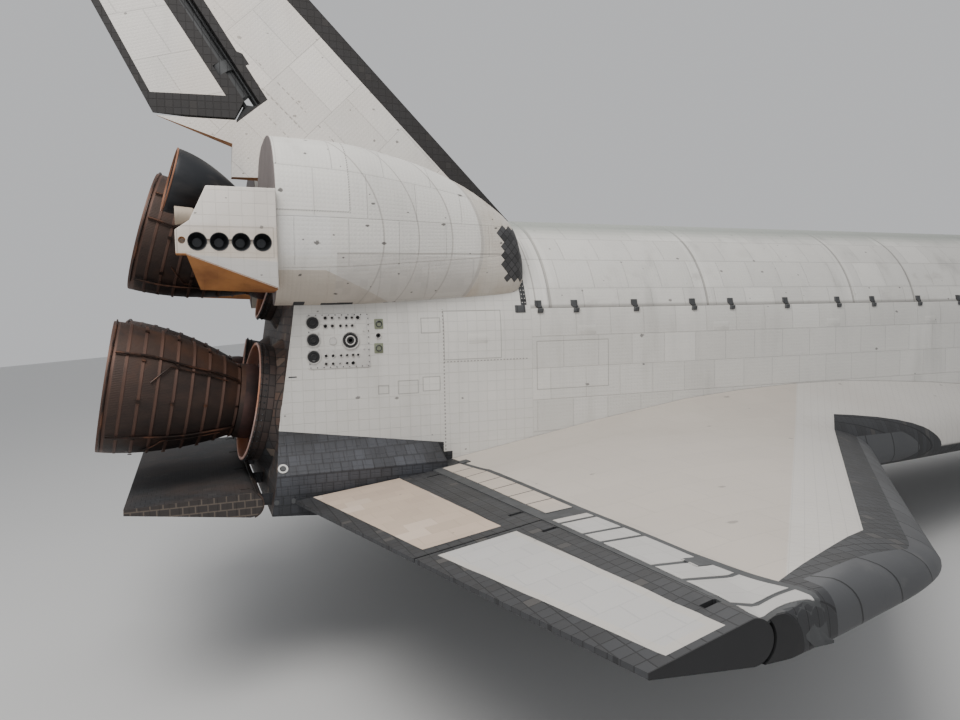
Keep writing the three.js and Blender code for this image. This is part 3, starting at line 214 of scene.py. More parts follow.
def ring(origin, axis, start, end, inner, outer, sides=64):
    profile = [(start, inner), (end, inner), (end, outer), (start, outer), (start, inner)]
    return turned(profile, origin, axis, sides)


def arc(radius, angles):
    """Points (along, radius) on a circle, at angles in degrees from a turned solid's axis."""
    return [(radius * math.cos(math.radians(d)), radius * math.sin(math.radians(d))) for d in angles]


def ball(centre, radius, sides=48):
    steps = sides // 2
    turns = [math.pi * i / steps for i in range(steps + 1)]
    return turned([(-radius * math.cos(a), radius * math.sin(a)) for a in turns], centre, ALONG, sides)


def turned_box(centre, axes, spans):
    corners = []
    for a in spans[0]:
        for b, c in ((0, 0), (1, 0), (1, 1), (0, 1)):
            corners.append(centre + (axes[0] * a + axes[1] * spans[1][b] + axes[2] * spans[2][c]) * MM)
    return loft([corners[:4], corners[4:]])


def tube(route, radius, sides=12):
    """A closed round tube along a route of points, kept square to the route."""
    turns = [(math.cos(TAU * i / sides), math.sin(TAU * i / sides)) for i in range(sides)]
    side = None
    loops = []
    for k, point in enumerate(route):
        ahead = (route[min(k + 1, len(route) - 1)] - route[max(k - 1, 0)]).normalized()
        if side is None:
            side = basis(ahead, Vector((0, 0.3, 1)))[0]
        side = (side - ahead * side.dot(ahead)).normalized()
        other = ahead.cross(side)
        loops.append([point + (side * c + other * s) * radius * MM for c, s in turns])
    return loft(loops)


def smooth_route(points, steps=6):
    """Points on a smooth curve through the given ones."""
    ends = [points[0] * 2 - points[1]] + points + [points[-1] * 2 - points[-2]]
    made = []
    for k in range(1, len(ends) - 2):
        a, b, c, d = ends[k - 1:k + 3]
        for i in range(steps):
            t = i / steps
            made.append((b * 2 + (c - a) * t + (a * 2 - b * 5 + c * 4 - d) * t ** 2
                         + (b * 3 - a - c * 3 + d) * t ** 3) / 2)
    return made + [points[-1]]


def settle(target):
    """Applies an object's modifiers to its mesh."""
    graph = bpy.context.evaluated_depsgraph_get()
    mesh = bpy.data.meshes.new_from_object(target.evaluated_get(graph))
    target.modifiers.clear()
    target.data = mesh
    return target


def combine(target, tools, kind):
    for tool in tools:
        step = target.modifiers.new(kind, "BOOLEAN")
        step.object = tool
        step.operation = kind
        step.solver = "MANIFOLD"
    settle(target)
    for tool in tools:
        bpy.data.objects.remove(tool)
    return target


def cut(target, *tools):
    return combine(target, tools, "DIFFERENCE")


def join(target, *tools):
    return combine(target, tools, "UNION")


def common(target, *tools):
    return combine(target, tools, "INTERSECT")


def gather(solids):
    """One object from several solids that may stay apart."""
    body = bmesh.new()
    for one in solids:
        body.from_mesh(one.data)
    mesh = bpy.data.meshes.new("group")
    body.to_mesh(mesh)
    body.free()
    first = solids[0]
    first.data = mesh
    for one in solids[1:]:
        bpy.data.objects.remove(one)
    return first


def bevel(target, width, segments=2, angle=30):
    step = target.modifiers.new("edge", "BEVEL")
    step.width = width * MM
    step.segments = segments
    step.limit_method = "ANGLE"
    step.angle_limit = math.radians(angle)
    return settle(target)


def mirrored(target):
    body = bmesh.new()
    body.from_mesh(target.data)
    bmesh.ops.scale(body, vec=(1, -1, 1), verts=body.verts)
    bmesh.ops.reverse_faces(body, faces=body.faces)
    body.to_mesh(target.data)
    body.free()
    return target


def handed(target, side):
    return target if side > 0 else mirrored(target)


def pchip(rows, x):
    """Reads a table smoothly at x, with no overshoot between its rows."""
    last = len(rows) - 1
    x = min(max(x, rows[0][0]), rows[last][0])
    k = max(i for i in range(last) if rows[i][0] <= x)
    h = rows[k + 1][0] - rows[k][0]
    t = (x - rows[k][0]) / h
    made = []
    for c in range(len(rows[0])):
        def rise(i):
            return (rows[i + 1][c] - rows[i][c]) / (rows[i + 1][0] - rows[i][0])

        def slope(i):
            if i == 0:
                return rise(0)
            if i == last:
                return rise(last - 1)
            a, b = rise(i - 1), rise(i)
            if a * b <= 0:
                return 0.0
            ha, hb = rows[i][0] - rows[i - 1][0], rows[i + 1][0] - rows[i][0]
            return (ha + hb) * 3 / ((2 * hb + ha) / a + (hb + 2 * ha) / b)

        p, q = rows[k][c], rows[k + 1][c]
        m, n = slope(k) * h, slope(k + 1) * h
        made.append(p * (2 * t ** 3 - 3 * t ** 2 + 1) + m * (t ** 3 - 2 * t ** 2 + t)
                    + q * (3 * t ** 2 - 2 * t ** 3) + n * (t ** 3 - t ** 2))
    return made


def spread(low, high, step):
    count = max(1, round((high - low) / step))
    return [low + (high - low) * i / count for i in range(count + 1)]


def super_ellipse(angle, roundness):
    c, s = math.cos(angle), math.sin(angle)
    return math.copysign(abs(c) ** (2 / roundness), c), math.copysign(abs(s) ** (2 / roundness), s)


# Sizes, shared with the solids behind this model

ORIGIN, ALONG = Vector((0, 0, 0)), Vector((0, 0, 1))
BODY_HALF, BODY_TOP, BODY_END, SPRING = 2667, 5969, 33200, 3378
BAY_FRONT, BAY_BACK, BAY_RADIUS, SILL = 8788, 27203, 2350, 3886
DOOR_THICK = 85
# Past every part of the body, for the boxes that trim it
WIDE, OVER = 3000, 7000
CABIN_FRONT, CABIN_BACK, CABIN_FLOOR, CABIN_WALL = 3950, 8500, 1900, 100
# The gap between fixed pieces, and the gap beside moving ones
SEAM, RUN = 0.5, 0.6
# The base plate's slanted face
BASE = {"station": 31990, "height": 3912, "lean": 0.157, "thick": 150}

# Columns: station, bottom, top, half width, height of the widest point, roundness above and below it
SECTIONS = [
    [0, 1850, 1852, 1, 1851, 2, 2],
    [8, 1760, 1950, 105, 1851, 2, 2],
    [102, 1480, 2200, 370, 1840, 2, 2],
    [300, 1230, 2420, 590, 1800, 2, 2],
    [640, 960, 2700, 870, 1720, 2.05, 2.1],
    [1100, 760, 2985, 1160, 1620, 2.1, 2.3],
    [1650, 600, 3330, 1440, 1530, 2.15, 2.6],
    [2400, 440, 3720, 1700, 1520, 2.2, 3],
    [3200, 330, 4050, 1930, 1600, 2.2, 3.6],
    [3700, 280, 4290, 2060, 1750, 2.25, 4],
    [4300, 230, 4980, 2200, 2100, 2.3, 4.6],
    [4900, 185, 5480, 2330, 2500, 2.3, 5.2],
    [5600, 145, 5770, 2450, 2850, 2.25, 6],
    [6600, 95, 5920, 2580, 3200, 2.1, 7.5],
    [7700, 45, 5969, 2650, 3378, 2, 9],
    [8788, 10, 5969, 2667, 3378, 2, 10],
    [12000, 0, 5969, 2667, 3378, 2, 10],
    [28400, 0, 5969, 2667, 3378, 2, 10],
    [32560, 300, 5969, 2667, 3378, 2, 10],
    [33300, 353, 5969, 2667, 3378, 2, 10],
]
ROOTED = [[math.sqrt(r[0])] + r[1:] for r in SECTIONS]


def section(station):
    return [station] + pchip(ROOTED, math.sqrt(max(0, station)))[1:]


def body_point(station, angle, grow=0):
    _, bottom, top, half, widest, upper, lower = section(station)
    up = math.sin(angle) >= 0
    c, s = super_ellipse(angle, upper if up else lower)
    rise = top - widest if up else widest - bottom
    return at(station, (half + grow) * c, widest + (rise + grow) * s)


AROUND = 96
# How far apart a body's loops stand before each station, and the ends of its straight part
BODY_STEPS = ((30, 6), (120, 25), (700, 60), (9000, 160), (40000, 400))
STRAIGHT = (12000, 28400)


def body(front, back, grow=0):
    """The fuselage's outer form between two stations."""
    stations = [front]
    while stations[-1] < back - 1:
        here = stations[-1]
        step = next(step for end, step in BODY_STEPS if here < end)
        fixed = [s for s in STRAIGHT if here + 1 < s < here + step]
        stations.append(min(fixed[0] if fixed else here + step, back))
    return loft([[body_point(s, TAU * i / AROUND, grow) for i in range(AROUND)] for s in stations])


def base_station(z):
    return BASE["station"] + (BASE["height"] - z) * BASE["lean"]


def behind_base(offset):
    low, high, aft = -500, 7500, 36000
    face = [(base_station(z) + offset, z) for z in (low, high)]
    return plate(face + [(aft, high), (aft, low)], -5000, 5000)


def rounded(width, tall, radius, steps=5):
    """A rectangle's outline with round corners, about its centre."""
    made = []
    for k, (sx, sy) in enumerate([(1, 1), (-1, 1), (-1, -1), (1, -1)]):
        for i in range(steps + 1):
            angle = math.pi / 2 * (k + i / steps)
            made.append((sx * (width / 2 - radius) + radius * math.cos(angle),
                         sy * (tall / 2 - radius) + radius * math.sin(angle)))
    return made


# Paint


class Tone:
    """A value or a colour inside one material's nodes, which adds and multiplies like a number."""

    def __init__(self, paint, socket):
        self.paint, self.socket = paint, socket

    def math(self, kind, *others):
        return self.paint.math(kind, self, *others)

    def __rsub__(self, other):
        return self.paint.math("SUBTRACT", other, self)

    __add__ = __radd__ = partialmethod(math, "ADD")
    __sub__ = partialmethod(math, "SUBTRACT")
    __mul__ = __rmul__ = partialmethod(math, "MULTIPLY")
    __truediv__ = partialmethod(math, "DIVIDE")
    __gt__ = partialmethod(math, "GREATER_THAN")
    __lt__ = partialmethod(math, "LESS_THAN")
    floor = partialmethod(math, "FLOOR")
    frac = partialmethod(math, "FRACT")
    size = partialmethod(math, "ABSOLUTE")
    least = partialmethod(math, "MINIMUM")
    most = partialmethod(math, "MAXIMUM")


class Grid:
    """A pattern of cells: each cell's number, its middle, and how near a point is to its edge."""

    def __init__(self, paint, u, v, wide, tall, shift=0.0, seed=0):
        row = (v / tall).floor()
        across = u / wide
        if shift:
            across = across + row * shift
        column = across.floor()
        near_u = (across - column - 0.5).size()
        near_v = (v / tall - row - 0.5).size()
        self.paint = paint
        self.edge = ((near_u * -wide + wide / 2).least(near_v * -tall + tall / 2))
        self.tone = paint.dice(column, row, seed)
        self.other = paint.dice(column, row, seed + 7)
        self.u = (column + 0.5 - row * shift) * wide if shift else (column + 0.5) * wide
        self.v = (row + 0.5) * tall

    def gap(self, width, soft=None):
        return 1 - self.paint.ramp(self.edge, width * 0.5, width * 0.5 + (soft or width * 0.5))


class Paint:
    """One material. Its methods add nodes and give back what they make."""

    def __init__(self, name):
        self.material = bpy.data.materials.new(name)
        self.material.use_nodes = True
        self.tree = self.material.node_tree
        self.shader = self.tree.nodes["Principled BSDF"]
        self.x, self.y, self.z = self.split("Object")
        self.station = self.x * -1

    def node(self, kind, **settings):
        made = self.tree.nodes.new("ShaderNode" + kind)
        for name, value in settings.items():
            setattr(made, name, value)
        return made

    def split(self, coordinate):
        parts = self.node("SeparateXYZ")
        self.tree.links.new(self.node("TexCoord").outputs[coordinate], parts.inputs[0])
        return [Tone(self, o) for o in parts.outputs]

    def put(self, socket, value):
        if isinstance(value, Tone):
            self.tree.links.new(value.socket, socket)
        elif isinstance(value, tuple) and len(value) == 3 and socket.type == "RGBA":
            socket.default_value = (*value, 1)
        else:
            socket.default_value = value

    def feed(self, node, values, output=0):
        """Sets a node's inputs and gives one of its outputs."""
        for key, value in values.items():
            self.put(node.inputs[key], value)
        return Tone(self, node.outputs[output])

    def math(self, kind, *values):
        return self.feed(self.node("Math", operation=kind), dict(enumerate(values)))

    def ramp(self, value, low, high):
        return self.feed(self.node("MapRange", interpolation_type="SMOOTHSTEP"),
                         {"Value": value, "From Min": low, "From Max": high})

    def mix(self, a, b, share):
        return self.feed(self.node("Mix", data_type="RGBA"), {0: share, 6: a, 7: b}, 2)

    def shade(self, colour, value):
        return self.feed(self.node("VectorMath", operation="SCALE"), {0: colour, "Scale": value})

    def line(self, value, place, low, high):
        """1 where a value is at a place, fading out between low and high away from it."""
        return 1 - self.ramp((value - place).size(), low, high)

    def lines(self, value, places, low, high):
        made = self.line(value, places[0], low, high)
        for place in places[1:]:
            made = made.most(self.line(value, place, low, high))
        return made

    def vector(self, a, b, c):
        return self.feed(self.node("CombineXYZ"), {0: a, 1: b, 2: c})

    def dice(self, a, b, c=0.0):
        return self.feed(self.node("TexWhiteNoise", noise_dimensions="3D"), {"Vector": self.vector(a, b, c)},
                         "Value")

    def noise(self, scale, detail=3, stretch=(1, 1, 1), rough=0.55, seed=0.0):
        place = self.vector(self.x * stretch[0] + seed, self.y * stretch[1], self.z * stretch[2])
        return self.feed(self.node("TexNoise"), {"Scale": scale, "Detail": detail, "Roughness": rough,
                                                 "Vector": place})

    def marks(self, u, v, cell, share, seed=0.0):
        """Small chips with ragged edges: 1 inside a mark, at the given share of the cells."""
        node = self.node("TexVoronoi", voronoi_dimensions="2D")
        place = self.vector(u * (1 / cell) + seed, v * (1.5 / cell) + seed, 0.0)
        away = self.feed(node, {"Scale": 1.0, "Vector": place}, "Distance")
        parts = self.node("SeparateColor")
        self.tree.links.new(node.outputs["Color"], parts.inputs[0])
        chosen, size = Tone(self, parts.outputs[0]) < share, Tone(self, parts.outputs[1])
        size = (size * size * 0.065 + 0.028) * (self.noise(24, 2, seed=seed) * 1.6 + 0.2)
        return chosen * (1 - self.ramp(away, size * 0.7, size))

    def inside(self, u, v, u0, u1, v0, v1):
        return (u > u0) * (u < u1) * (v > v0) * (v < v1)

    def frame_line(self, u, v, u0, u1, v0, v1, width):
        """The border line of a rectangle."""
        du = ((u - (u0 + u1) / 2).size() - (u1 - u0) / 2)
        dv = ((v - (v0 + v1) / 2).size() - (v1 - v0) / 2)
        return 1 - self.ramp(du.most(dv).size(), width * 0.4, width)

    def above(self, u, v, a, b):
        """1 where v is over the straight line through points a and b."""
        slope = (b[1] - a[1]) / (b[0] - a[0])
        return (v - u * slope) > (a[1] - a[0] * slope)

    def normal(self, axis):
        return self.split("Normal")["xyz".index(axis)]

    def finish(self, colour, rough=0.6, bump=None, depth=0.01, metal=0.0, **fixed):
        self.feed(self.shader, {"Base Color": colour, "Roughness": rough, "Metallic": metal})
        for name, value in fixed.items():
            self.put(self.shader.inputs[name.replace("_", " ").title()], value)
        if bump is not None:
            relief = self.feed(self.node("Bump"), {"Distance": depth, "Strength": 1.0, "Height": bump})
            self.put(self.shader.inputs["Normal"], relief)
        return self.material


WHITE = (0.66, 0.645, 0.61)
TAIL_WHITE, TAIL_PINK = (0.665, 0.640, 0.605), (0.665, 0.59, 0.52)
GAP = (0.17, 0.165, 0.155)
FELT = (0.50, 0.455, 0.405)
CARBON = (0.060, 0.062, 0.066)
# orange of painted lamp light from below, for the tail stub's down-facing faces
LAMP_ORANGE = (0.36, 0.155, 0.07)
STITCH = 0.0762


def girth(p):
    """How far round the body a point is: height on the flat sides, arc length on the round top."""
    top = p.math("ARCTAN2", p.z - SPRING * MM, p.y.size()) * (BODY_HALF * MM) + SPRING * MM
    return p.z + (top - p.z) * (p.z > SPRING * MM)


def weather(p, colour, streak=0.1, blotch=0.1):
    """Slow changes of tone, and streaks of dirt that run down."""
    slow = p.noise(0.55, 4) * blotch * 2 + (1 - blotch)
    run = p.ramp(p.noise(1.1, 5, (1.5, 1.5, 0.22), seed=3.1), 0.5, 0.8) * -streak + 1
    return p.shade(colour, slow * run)


def white_tiles(p, u, v, seed=1, wide=0.203, base=WHITE):
    """White tiles with fine gaps, each a little lighter or darker. Gives colour and height."""
    tiles = Grid(p, u, v, wide, wide, seed=seed)
    tone = tiles.tone * 0.045 + 0.965
    colour = p.mix(p.shade(base, tone), GAP, tiles.gap(0.006) * 0.16)
    return colour, tiles.gap(0.006) * -0.5, tiles


def blankets(p, u, v, seed=1, wide=0.84, tall=0.66, base=WHITE):
    """Quilted blankets: big panels with sewn seams and a fine grid of stitches."""
    panels = Grid(p, u, v, wide, tall, 0.37, seed)
    quilt = Grid(p, u, v, STITCH, STITCH)
    tone = panels.tone * 0.07 + 0.93
    patch = p.ramp(panels.other, 0.86, 0.92) * 0.08
    colour = p.shade(base, tone + patch)
    colour = p.mix(colour, GAP, panels.gap(0.012) * 0.20)
    pillow = p.ramp(quilt.edge, 0.0, 0.03)
    return colour, pillow * 0.3 - panels.gap(0.012) * 0.7, panels


def black_tiles(p, u, v, seed=2, wide=0.152, shift=0.0, blue=0.35):
    """Black tiles with a bluish cast, darker gaps and an odd pale one."""
    tiles = Grid(p, u, v, wide, wide, shift, seed)
    colour = p.mix((0.018, 0.018, 0.019), (0.047, 0.050, 0.056),
                   tiles.tone * blue + p.noise(0.9, 3) * 0.5 - 0.15)
    colour = p.mix(colour, (0.007, 0.007, 0.008), tiles.gap(0.008) * 0.85)
    odd = p.ramp(tiles.other, 0.95, 0.97) * 0.22
    colour = p.mix(colour, (0.13, 0.115, 0.10), odd * (1 - tiles.gap(0.008)))
    return colour, tiles.gap(0.008) * -1, tiles


# Placing: every piece stands in the airframe's frame and rides on a body


def piece(made, name, carrier, paint, nodes=(), place=PLACE, sharp=32):
    made.name = name
    made.data.name = name
    made.matrix_world = place
    made.data.materials.clear()
    for one in (paint if isinstance(paint, (list, tuple)) else [paint]):
        made.data.materials.append(one)
    made.data.shade_smooth()
    made.data.set_sharp_from_angle(angle=math.radians(sharp))
    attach(made, carrier)
    if nodes:
        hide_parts(*nodes)
    return made


def repaint(node, paint):
    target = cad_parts[node]
    target.data.materials.clear()
    target.data.materials.append(paint)


SIDES = (("left", 1), ("right", -1))

# Fuselage

NOSE_WELL = {"front": 1900, "back": 4050, "half": 560, "top": 1500}
HATCH_S, HATCH_Z, HATCH_R = 6900, 2750, 510
MODULE = {"front": 1300, "back": 3050, "low": 2300}
# Columns: station, side, height, azimuth from forward, elevation, width and height of the pane
PANES = [
    (4180, 400, 4730, 14, 42, 640, 620),
    (4360, 1060, 4680, 44, 40, 620, 640),
    (4800, 1560, 4700, 74, 34, 640, 560),
    (5800, 480, 5700, 90, 84, 460, 560),
]
NOSE_JETS = ([(at(s, y, 2600), at(s - 500, y, 4300), 110) for s, y in ((1500, 0), (1480, 330), (1480, -330))]
             + [(at(s, side * 900, z), at(s, side * 1700, z + 80), 115)
                for s, z in ((2050, 2620), (2450, 2680)) for side in (1, -1)])


def pane_axes(azimuth, elevation, side):
    a, e = math.radians(azimuth) * side, math.radians(elevation)
    turn = Matrix.Rotation(a, 3, "Z") @ Matrix.Rotation(-e, 3, "Y")
    return turn @ Vector((1, 0, 0)), turn @ Vector((0, 1, 0)), turn @ Vector((0, 0, 1))


def pane_block(pane, side, grow=0, low=-450, high=450, radius=70):
    station, y, z, azimuth, elevation, wide, tall = pane
    out, across, up = pane_axes(azimuth, elevation, side)
    middle = at(station, side * y, z)
    outline = rounded(wide + grow * 2, tall + grow * 2, radius + grow)
    return loft([[middle + (out * d + across * a + up * b) * MM for a, b in outline] for d in (low, high)])


def forward_body(grow=0):
    return body(640 + SEAM, BAY_FRONT, grow)


def cabin_body(grow):
    return body(CABIN_FRONT, CABIN_BACK, grow)


def module_box(grow):
    m = MODULE
    return box(m["front"] - grow, m["back"] + grow, -WIDE - grow, WIDE + grow, m["low"] - grow, 5000)


def nose_well_box():
    w = NOSE_WELL
    return box(w["front"], w["back"], -w["half"], w["half"], -400, w["top"])


HATCH_PIVOT = at(HATCH_S, section(HATCH_S)[3] + 2, HATCH_Z - HATCH_R - 30)


def hatch_pin(front, back, radius):
    a, b = HATCH_PIVOT.copy(), HATCH_PIVOT.copy()
    a.x, b.x = -front * MM, -back * MM
    return bar(a, b, radius)


def hatch_plug(radius, inner=2300, outer=2900, sides=64):
    return bar(at(HATCH_S, inner, HATCH_Z), at(HATCH_S, outer, HATCH_Z), radius, sides=sides)


def forward_fuselage():
    shell = join(forward_body(), hatch_pin(6810, 6869.4, 30), hatch_pin(6930.6, 6990, 30))
    cavity = common(cabin_body(-CABIN_WALL), box(CABIN_FRONT, CABIN_BACK, -WIDE, WIDE, CABIN_FLOOR, 6500))
    space = cut(common(forward_body(50), module_box(SEAM)), forward_body(-270))
    y, z = HATCH_PIVOT.y / MM, HATCH_PIVOT.z / MM
    strap = box(HATCH_S - 30 - RUN, HATCH_S + 30 + RUN, y - 75, y + 40, z - 37, z + 110)
    panes = [pane_block(p, side) for p in PANES for side in (1, -1)]
    return cut(shell, cavity, space, nose_well_box(), hatch_plug(HATCH_R + 6), strap, *panes)


def thruster_module():
    made = cut(common(forward_body(), module_box(0)), forward_body(-260))
    return cut(made, *[bar(a, b, r, r, 32) for a, b, r in NOSE_JETS])


def jet_liner(a, b, radius, start, end):
    """The dark throat of a small thruster, a cup set into its hole."""
    return turned([(start - 60, 0), (start - 60, radius - 6), (end, radius - 2), (end, radius - 10),
                   (start, radius * 0.45), (start, 0)], a, (b - a).normalized(), 40)


def bay_arc(station, radius, steps):
    """The bay's round floor, from one side to the other."""
    return [at(station, radius * math.cos(a), SPRING + radius * math.sin(a))
            for a in (math.pi + math.pi * i / steps for i in range(steps + 1))]


def mid_fuselage():
    def trough(station):
        return bay_arc(station, BAY_RADIUS, 48) + [at(station, way * BAY_RADIUS, OVER) for way in (1, -1)]

    bay = loft([trough(BAY_FRONT - 10), trough(BAY_BACK + 10)])
    return cut(body(BAY_FRONT + SEAM, BAY_BACK - SEAM), bay, box(8000, 28000, -WIDE, WIDE, SILL, OVER))


def arch_point(inset, deg):
    a = math.radians(deg)
    return (BODY_HALF - inset) * math.cos(a), SPRING + (BODY_TOP - SPRING - inset) * math.sin(a)


RADIATOR = {"front": 8960, "back": 18080, "gap": 45, "thick": 45, "start": 24, "end": 78,
            "lugs": (9400, 13520, 17640)}
FOLD = arch_point(DOOR_THICK + RADIATOR["gap"], RADIATOR["start"])


def fold_pin(side, front, back, radius):
    return bar(at(front, side * FOLD[0], FOLD[1]), at(back, side * FOLD[0], FOLD[1]), radius)


def bay_door(side):
    """Half of the bay's roof, with pins at the radiator's lugs."""
    front, back = BAY_FRONT + RUN, BAY_BACK - RUN
    arch = cut(body(front, back), body(front - 10, back + 10, -DOOR_THICK))
    low, high = (4, WIDE) if side > 0 else (-WIDE, -4)
    arch = common(arch, box(front - 5, back + 5, low, high, SILL + 6, OVER))
    return join(arch, *[fold_pin(side, s - 30, s + 30, 55) for s in RADIATOR["lugs"]])


def door_strip(side, insets, turns, stations):
    """A curved slab inside a door, between two insets and two end stations."""
    arcs = [[arch_point(inset, deg) for deg in turns] for inset in insets]
    return loft([[at(s, side * y, z) for y, z in arcs[0] + arcs[1][::-1]] for s in stations])


def door_frames(side, stations):
    """Curved ribs along the inside of a door, clear of the radiators."""
    insets, turns = (DOOR_THICK - 4, DOOR_THICK + 26), spread(15, 86, 6)
    return gather([door_strip(side, insets, turns, (s - 25, s + 25)) for s in stations])


def radiator(side):
    outer = DOOR_THICK + RADIATOR["gap"]
    panel = door_strip(side, (outer, outer + RADIATOR["thick"]),
                       spread(RADIATOR["start"], RADIATOR["end"], 3), (RADIATOR["front"], RADIATOR["back"]))
    return cut(panel, *[fold_pin(side, s - 30 - RUN, s + 30 + RUN, 62) for s in RADIATOR["lugs"]])


def side_hatch():
    y, z = HATCH_PIVOT.y / MM, HATCH_PIVOT.z / MM
    panel = cut(common(forward_body(), hatch_plug(HATCH_R)), cabin_body(-CABIN_WALL),
                hatch_plug(128, 2200, 2900, 48))
    strap = box(HATCH_S - 30, HATCH_S + 30, y - 60, y + 14, z, z + 110)
    return join(panel, strap, hatch_pin(HATCH_S - 30, HATCH_S + 30, 30))


# Engines and the base

# Columns: name, station, side, height, pitch, yaw, the shield ball's radius, the turn where its band ends
ENGINES = [
    ("engine_upper", 30709, 0, 4470, 16, 0, 1600, 58),
    ("engine_left", 31297, 1346, 1921, 10, 3.5, 1613, 60),
    ("engine_right", 31297, -1346, 1921, 10, -3.5, 1613, 60),
]
BELL = {"exit": 4010, "exit_radius": 1194, "throat": 930, "throat_radius": 190, "wall": 42}
BEARING, POD_BEARING = (130, 150, 150), (60, 70, 70)
POD_ENGINE = {"station": 32181, "side": 2231, "height": 5702, "pitch": 15.8, "yaw": 6.5, "throat": 560,
              "exit": 1900, "exit_radius": 560}
THRUST_WALL = 30400
FLAP = {"hinge": 32918, "height": 560, "half": 215, "half_span": 3240, "trailing": 34900,
        "trailing_height": 655, "trailing_half": 50}
FLAP_ARMS = (-2900, -1000, 1000, 2900)


def aim(pitch, yaw):
    p, w = math.radians(pitch), math.radians(yaw)
    return Vector((-math.cos(p) * math.cos(w), math.cos(p) * math.sin(w), math.sin(p)))


def bearing_axes(axis):
    upright = axis.cross(Vector((0, 1, 0))).normalized()
    return Vector((0, 1, 0)).cross(upright).normalized(), Vector((0, 1, 0)), upright


def ear_spans(size, k):
    """Where a gimbal's two ears lie, one on each side of it."""
    start = size[k] + RUN
    return [sorted(v * way for v in (start, start + size[0] * 0.5)) for way in (-1, 1)]


def side_ears(pivot, axis, size, root):
    reach = size[0]
    return [turned_box(pivot, bearing_axes(axis), ((-root, reach * 0.8), span, (-reach * 0.7, reach * 0.7)))
            for span in ear_spans(size, 2)]


def head_ears(pivot, axis, size, head):
    reach = size[0]
    return [turned_box(pivot, bearing_axes(axis), ((-reach * 0.7, head), (-reach * 0.6, reach * 0.6), span))
            for span in ear_spans(size, 1)]


def ball_band(pivot, axis, inner, outer, start, end, sides=96):
    steps = 14
    there = [start + (end - start) * i / steps for i in range(steps + 1)]
    back = [end + (start - end) * i / steps for i in range(steps + 1)]
    profile = arc(outer, there) + arc(inner, back)
    return turned(profile + [profile[0]], pivot, axis, sides)


def flap_cove():
    return cross_bar(FLAP["hinge"], 0, FLAP["height"], 4000, FLAP["half"] * 1.1 + 10, 64)


def aft_hull():
    def flare(s, side):
        low, top = section(s)[1] + 20, 1270 + (s - 29159) * 0.1446
        outline = ((2300, top), (2660, top), (3245, 1020), (3245, low), (2300, low))
        return [at(s, side * y, z) for y, z in outline]

    flares = [loft([flare(s, side) for s in (29300, 30200, 31000, 32000, BODY_END)]) for side in (1, -1)]
    return join(body(BAY_BACK, BODY_END), *flares)


def aft_fuselage():
    cavity = cut(body(BAY_BACK, BODY_END, -BASE["thick"]),
                 box(BAY_BACK - 10, THRUST_WALL, -WIDE, WIDE, -100, OVER))
    spaces, ears = [], []
    for _, station, side, height, pitch, yaw, shield, _ in ENGINES:
        pivot, axis = at(station, side, height), aim(pitch, yaw)
        if side:
            y0, y1 = sorted(math.copysign(v, side) for v in (2400, 2632))
            room = box(31700, 33000, y0, y1, 900, 3000)
        else:
            room = box(31150, 33000, -2000, 2000, 4000, OVER)
        spaces.append(common(ball(pivot, shield - 12), room))
        ears += [common(e, box(THRUST_WALL - 100, 33000, -WIDE, WIDE, 0, OVER))
                 for e in side_ears(pivot, axis, BEARING, station - THRUST_WALL + 400)]
    hull = cut(aft_hull(), cavity, behind_base(-BASE["thick"] - SEAM), flap_cove(), *spaces)
    return join(hull, *ears)


def heat_shield():
    """The slanted base plate with its three round mouths."""
    holes, collars, arms = [], [], []
    for _, station, side, height, pitch, yaw, shield, root in ENGINES:
        pivot, axis = at(station, side, height), aim(pitch, yaw)
        rim = arc(shield - 14, spread(27, 74, 5)[::-1])
        mouth = turned([(rim[0][0], 0)] + rim + [(rim[-1][0], 0)], pivot, axis, 96)
        holes.append(common(mouth, box(30000, 35000, -2590, 2590, 0, 9000)))
        band = ball_band(pivot, axis, shield, shield + 32, 41.5, root)
        band = common(band, behind_base(-BASE["thick"]))
        collars.append(common(band, box(31000, 35000, -2650, 2650, 0, 9000)))
    wall = cut(common(aft_hull(), behind_base(-BASE["thick"])), behind_base(0), *holes)
    hinge, height = FLAP["hinge"], FLAP["height"]
    for y in FLAP_ARMS:
        arm = join(cross_bar(hinge, y, height, 40, 120),
                   box(hinge - 480, hinge, y - 40, y + 40, height - 100, height + 100))
        arms.append(common(arm, behind_base(-BASE["thick"])))
    return join(cut(join(wall, *collars), flap_cove()), *arms)


def engine_place(pivot, axis):
    """A frame whose z runs along the engine, for shapes and paint that go round it."""
    u = axis.cross(bearing_axes(axis)[1]).normalized()
    turn = Matrix((u, axis.cross(u), axis)).transposed().to_4x4()
    return PLACE @ Matrix.Translation(pivot) @ turn


def bell_radius(along):
    first, last = BELL["throat_radius"], BELL["exit_radius"]
    t = max(0, (along - BELL["throat"]) / (BELL["exit"] - BELL["throat"]))
    return first + (last - first) * math.sin(t * math.pi / 2) ** 0.82


BANDS = (1780, 2060, 2340, 2620, 2900, 3180, 3450, 3710)


